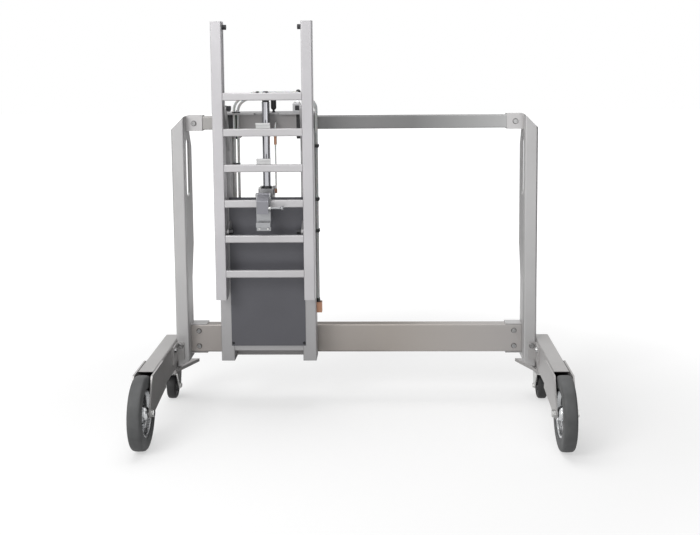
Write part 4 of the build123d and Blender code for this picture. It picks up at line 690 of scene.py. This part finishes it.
def post_welds(side_name):
    """Beam sockets and grip plate on a post."""
    web = min((corner.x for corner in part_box(f"{side_name}_post")), key=abs)
    top_low, top_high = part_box("top_beam")
    low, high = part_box("bottom_beam")
    face_z = (top_low.z - SOCKET_DROP, top_high.z)
    under_y = (top_low.y + UNDER_REACH[0], top_high.y + UNDER_REACH[1])
    lower_y = (low.y + LOWER_REACH[0], high.y + LOWER_REACH[1])
    beads = (
        ("upper_socket_weld", upright_bead(web, top_low.y - SOCKET_WALL, face_z)),
        ("upper_socket_underweld", level_bead(web, under_y, top_low.z - SOCKET_WALL)),
        ("lower_socket_weld", level_bead(web, lower_y, high.z + SOCKET_WALL)),
        ("lower_socket_underweld", level_bead(web, lower_y, low.z - SOCKET_WALL)),
    )
    for bead_name, ends in beads:
        weld(f"{side_name}_{bead_name}", ends, SOCKET_BEAD, "frame", "frame_paint")
    plate_low, plate_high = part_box(f"{side_name}_grip_plate")
    seam_ends = upright_bead(web, plate_low.y, (plate_low.z + SEAM_INSET, plate_high.z - SEAM_INSET))
    weld(f"{side_name}_post_seam", seam_ends, SEAM_BEAD, "frame", "post_paint")


def mast_welds(side, side_name):
    """Guide lugs and mast foot on a mast upright."""
    low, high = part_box(f"{side_name}_mast_upright")
    upper = high.z - LUG_INSET
    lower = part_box("guide_lugs")[0].z + LUG_INSET
    levels = (("upper", (upper - LUG_WELD_LONG, upper)), ("lower", (lower, lower + LUG_WELD_LONG)))
    for level, heights in levels:
        for place, offset in LUG_OFFSETS:
            ends = upright_bead(MAST_X + side * offset, low.y, heights)
            weld(f"{level}_{side_name}_{place}_lug_weld", ends, LUG_BEAD, "carriage", "mast_alloy")
    foot_low, foot_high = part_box("mast_foot")
    foot_x = foot_low.x if side < 0 else foot_high.x
    foot_y = (foot_low.y + MAST_FOOT_INSET, foot_high.y - MAST_FOOT_INSET)
    foot_ends = level_bead(foot_x, foot_y, foot_high.z)
    weld(f"{side_name}_mast_foot_weld", foot_ends, FOOT_BEAD, "carriage", "mast_alloy")


def rung_welds(side, side_name):
    """Three beads at one end of every rung."""
    low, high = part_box("lift_rungs")
    x = low.x if side < 0 else high.x
    depths = (low.y + RUNG_INSET[0], high.y - RUNG_INSET[1])
    pitch = (high.z - low.z - 2 * RUNG_HALF) / (RUNG_COUNT - 1)
    for rung in range(RUNG_COUNT):
        z = low.z + RUNG_HALF + pitch * rung
        beads = (
            ("top", level_bead(x, depths, z + RUNG_HALF)),
            ("under", level_bead(x, depths, z - RUNG_HALF)),
            ("rear", upright_bead(x, high.y, (z - RUNG_FLAT, z + RUNG_FLAT))),
        )
        for place, ends in beads:
            weld(f"{side_name}_rung_{rung}_{place}_weld", ends, RUNG_BEAD, "lift", "lift_steel")


for side_name, side in SIDES.items():
    leg_welds(side_name)
    post_welds(side_name)
    mast_welds(side, side_name)
    rung_welds(side, side_name)
bracket_low, bracket_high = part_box("rod_bracket")
bracket_ends = (
    (bracket_low.x + BRACKET_INSET, bracket_low.y, bracket_high.z),
    (bracket_high.x - BRACKET_INSET, bracket_low.y, bracket_high.z),
)
weld("rod_bracket_weld", bracket_ends, BRACKET_BEAD, "lift", "lift_steel")

# cylinder gland, valve and gripper fittings
GLAND_STEPS, COLLAR_STEPS = 64, 40
VALVE_SCREW_X, VALVE_SCREW_Y = 0.0085, (0.008, 0.052)     # from the body's middle, and from its front
GRIP_SCREW_X, GRIP_SCREW_Y, GRIP_SCREW_Z = 0.015, 0.018, 0.0077
TOOTH_COUNT = 7
TOOTH_FIRST, TOOTH_PITCH = 0.0027, 0.0040
TOOTH_HALF, TOOTH_SINK, TOOTH_OUT = 0.0017, 0.0006, 0.0015
JAW_FACE = 0.010            # from the jaw's front to the foot of its gripping face
JAW_LEAN = 0.0040 / 0.036   # how far that face leans back, per length up it
JAW_INSET = 0.0015
GLAND = rounded(
    [
        (-0.0003, 0.0151), (-0.0003, 0.0215), (0.0040, 0.0215), (0.0055, 0.0200), (0.0055, 0.0170),
        (0.0085, 0.0160), (0.0085, 0.0151),
    ],
    radius=0.0007,
    steps=3,
)
COLLAR = rounded(
    [(0.0, 0.0041), (0.0, 0.0066), (0.0075, 0.0066), (0.0090, 0.0055), (0.0090, 0.0041)],
    radius=0.0006,
    steps=3,
)

cylinder = middle("cylinder_ends")
gland_place = (cylinder.x, cylinder.y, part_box("cylinder_ends")[1].z)
gland_mesh = spun("rod_gland", gland_place, (0, 0, 1), GLAND, GLAND_STEPS)
add_piece("rod_gland", gland_mesh, "carriage", "black_plastic")

valve = middle("valve_body")
valve_low, valve_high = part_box("valve_body")
screw_places = [(valve.x + side * VALVE_SCREW_X, valve_low.y + depth, valve_high.z)
                for side in SIDES.values() for depth in VALVE_SCREW_Y]
valve_heads = [button_head(place, (0, 0, 1), radius=0.0030, tall=0.0024) for place in screw_places]
valve_heads.append(button_head((valve.x, valve_low.y, valve.z), (0, -1, 0), radius=0.0065, tall=0.0035))
add_piece("valve_screws", joined("valve_screws", valve_heads), "carriage", "zinc")

grip_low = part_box("gripper_body")[0]
grip_places = [(MAST_X + side * GRIP_SCREW_X, grip_low.y + GRIP_SCREW_Y, grip_low.z + GRIP_SCREW_Z)
               for side in SIDES.values()]
grip_heads = [button_head(place, (0, -1, 0), radius=0.0045, tall=0.0030) for place in grip_places]
add_piece("gripper_screws", joined("gripper_screws", grip_heads), "lift", "zinc")

lever = middle("release_lever")
collar_place = (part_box("release_lever")[0].x, lever.y, lever.z)
add_piece("lever_collar", spun("lever_collar", collar_place, (1, 0, 0), COLLAR, COLLAR_STEPS), "jaw", "zinc")

jaw_low, jaw_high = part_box("upper_jaw")
teeth = []
for k in range(TOOTH_COUNT):
    up = TOOTH_FIRST + TOOTH_PITCH * k
    y = jaw_low.y + JAW_FACE + up * JAW_LEAN
    z = jaw_low.z + up
    outline = [(y - TOOTH_SINK, z - TOOTH_HALF), (y + TOOTH_OUT, z), (y - TOOTH_SINK, z + TOOTH_HALF)]
    teeth.append(prism("tooth", outline, jaw_low.x + JAW_INSET, jaw_high.x - JAW_INSET, X_AXIS))
add_piece("jaw_teeth", joined("jaw_teeth", teeth), "jaw", "grip_steel")

# stage, camera and light
FLOOR_SIZE = 40.0
FLOOR_NEAR, FLOOR_FAR = 1.0, 3.2    # distances between which the floor's glow rises to white
FLOOR_GLOW = 0.52
WORLD_LIGHT = (0.80, 0.04)          # strength from the left and from the right
RANGE_SOCKETS = ("From Min", "From Max", "To Min", "To Max")


def set_range(node, *values):
    """Both spans of a map range node."""
    for socket, value in zip(RANGE_SOCKETS, values):
        node.inputs[socket].default_value = value


def seen_by_eye(tree):
    """1 for what the eye, a reflection or clear plastic sees, 0 for what only lights the scene."""
    path = tree.nodes.new("ShaderNodeLightPath")
    total = path.outputs["Is Camera Ray"]
    for name in ("Is Glossy Ray", "Is Transmission Ray"):
        either = tree.nodes.new("ShaderNodeMath")
        either.operation = "MAXIMUM"
        tree.links.new(total, either.inputs[0])
        tree.links.new(path.outputs[name], either.inputs[1])
        total = either.outputs[0]
    return total


def add_floor():
    """Pale floor that turns white to the eye further out."""
    bpy.ops.mesh.primitive_plane_add(size=FLOOR_SIZE, location=(0, 0, 0))
    floor = bpy.context.object
    floor.name = "floor"
    shader = Shader("pale_floor", (0.5, 0.5, 0.5), metallic=0.0, roughness=0.8)
    shader.surface.inputs["Specular IOR Level"].default_value = 0.0
    shader.surface.inputs["Emission Color"].default_value = (1, 1, 1, 1)
    length = shader.node("ShaderNodeVectorMath", operation="LENGTH")
    shader.link(shader.place, length.inputs[0])
    far = shader.node("ShaderNodeMapRange", interpolation_type="SMOOTHSTEP")
    set_range(far, FLOOR_NEAR, FLOOR_FAR, FLOOR_GLOW, 1.0)
    shader.link(length.outputs["Value"], far.inputs["Value"])
    glow = shader.node("ShaderNodeMath", operation="MULTIPLY")
    shader.link(seen_by_eye(shader.tree), glow.inputs[0])
    shader.link(far.outputs["Result"], glow.inputs[1])
    shader.link(glow.outputs[0], shader.surface.inputs["Emission Strength"])
    floor.data.materials.append(shader.material)


def add_camera():
    """Camera with the photograph's place, tilt, focal length and off-centre framing."""
    pitch, yaw, roll = (math.radians(a) for a in (CAMERA_PITCH, CAMERA_YAW, CAMERA_ROLL))
    forward = Vector((math.sin(yaw) * math.cos(pitch), math.cos(yaw) * math.cos(pitch), -math.sin(pitch)))
    level = Vector((math.cos(yaw), -math.sin(yaw), 0))
    down = forward.cross(level)
    right = math.cos(roll) * level + math.sin(roll) * down
    down = -math.sin(roll) * level + math.cos(roll) * down
    turn = Matrix((right, -down, -forward)).transposed().to_4x4()
    camera = bpy.data.cameras.new("camera")
    camera.sensor_width = SENSOR
    camera.lens = FOCAL_PIXELS * SENSOR / IMAGE_WIDTH
    camera.shift_x = (IMAGE_WIDTH / 2 - PRINCIPAL[0]) / IMAGE_WIDTH
    camera.shift_y = (PRINCIPAL[1] - IMAGE_HEIGHT / 2) / IMAGE_WIDTH
    holder = bpy.data.objects.new("camera", camera)
    holder.matrix_world = Matrix.Translation(CAMERA_PLACE) @ turn
    bpy.context.scene.collection.objects.link(holder)
    bpy.context.scene.camera = holder


def add_light(name, place, target, size, power):
    """Soft square lamp that looks at a point."""
    lamp = bpy.data.lights.new(name, "AREA")
    lamp.size = size
    lamp.energy = power
    holder = bpy.data.objects.new(name, lamp)
    aim = Vector(target) - Vector(place)
    holder.matrix_world = Matrix.Translation(place) @ aim.to_track_quat("-Z", "Y").to_matrix().to_4x4()
    bpy.context.scene.collection.objects.link(holder)


def add_world():
    """White to the eye; as a light, brighter from the left than from the right."""
    world = bpy.data.worlds.new("studio")
    world.use_nodes = True
    tree = world.node_tree
    background = tree.nodes["Background"]
    background.inputs["Color"].default_value = (1, 1, 1, 1)
    direction = tree.nodes.new("ShaderNodeTexCoord")
    split = tree.nodes.new("ShaderNodeSeparateXYZ")
    tree.links.new(direction.outputs["Generated"], split.inputs["Vector"])
    sideways = tree.nodes.new("ShaderNodeMapRange")
    set_range(sideways, -1.0, 1.0, *WORLD_LIGHT)
    tree.links.new(split.outputs["X"], sideways.inputs["Value"])
    strength = tree.nodes.new("ShaderNodeMapRange")
    strength.inputs["To Max"].default_value = 1.0
    tree.links.new(sideways.outputs["Result"], strength.inputs["To Min"])
    tree.links.new(seen_by_eye(tree), strength.inputs["Value"])
    tree.links.new(strength.outputs["Result"], background.inputs["Strength"])
    bpy.context.scene.world = world


def add_flag(name, place, size, turn, shade, tilt=90):
    """Dark panel that only reflections show, to give metal contrast."""
    rotation = (math.radians(tilt), 0, math.radians(turn))
    bpy.ops.mesh.primitive_plane_add(size=1.0, location=place, rotation=rotation)
    flag = bpy.context.object
    flag.name = name
    flag.scale = (size[0], size[1], 1.0)
    flag.visible_camera = False
    flag.visible_diffuse = False
    flag.visible_shadow = False
    flag.visible_transmission = False
    flag.data.materials.append(Shader(name, (shade, shade, shade), metallic=0.0, roughness=0.9).material)


add_floor()
add_camera()
add_light("key", place=(-2.4, -3.6, 2.9), target=(0, 0, 0.7), size=2.0, power=92)
add_light("fill", place=(1.6, -3.6, 1.8), target=(0, 0, 0.6), size=2.4, power=10)
add_light("top", place=(-0.6, 0.4, 4.2), target=(0, 0, 0.5), size=3.0, power=62)
add_flag("right_flag", place=(2.4, -0.4, 1.1), size=(3.6, 2.4), turn=90, shade=0.02)
add_flag("left_flag", place=(-2.8, 0.6, 1.1), size=(1.2, 2.2), turn=90, shade=0.2)
add_flag("back_flag", place=(-0.35, 2.6, 0.8), size=(1.3, 2.2), turn=0, shade=0.03)
add_flag("low_flag", place=(-0.27, 0.75, 0.003), size=(0.8, 1.9), turn=0, shade=0.03, tilt=0)
add_world()
bpy.context.scene.view_settings.view_transform = "Standard"
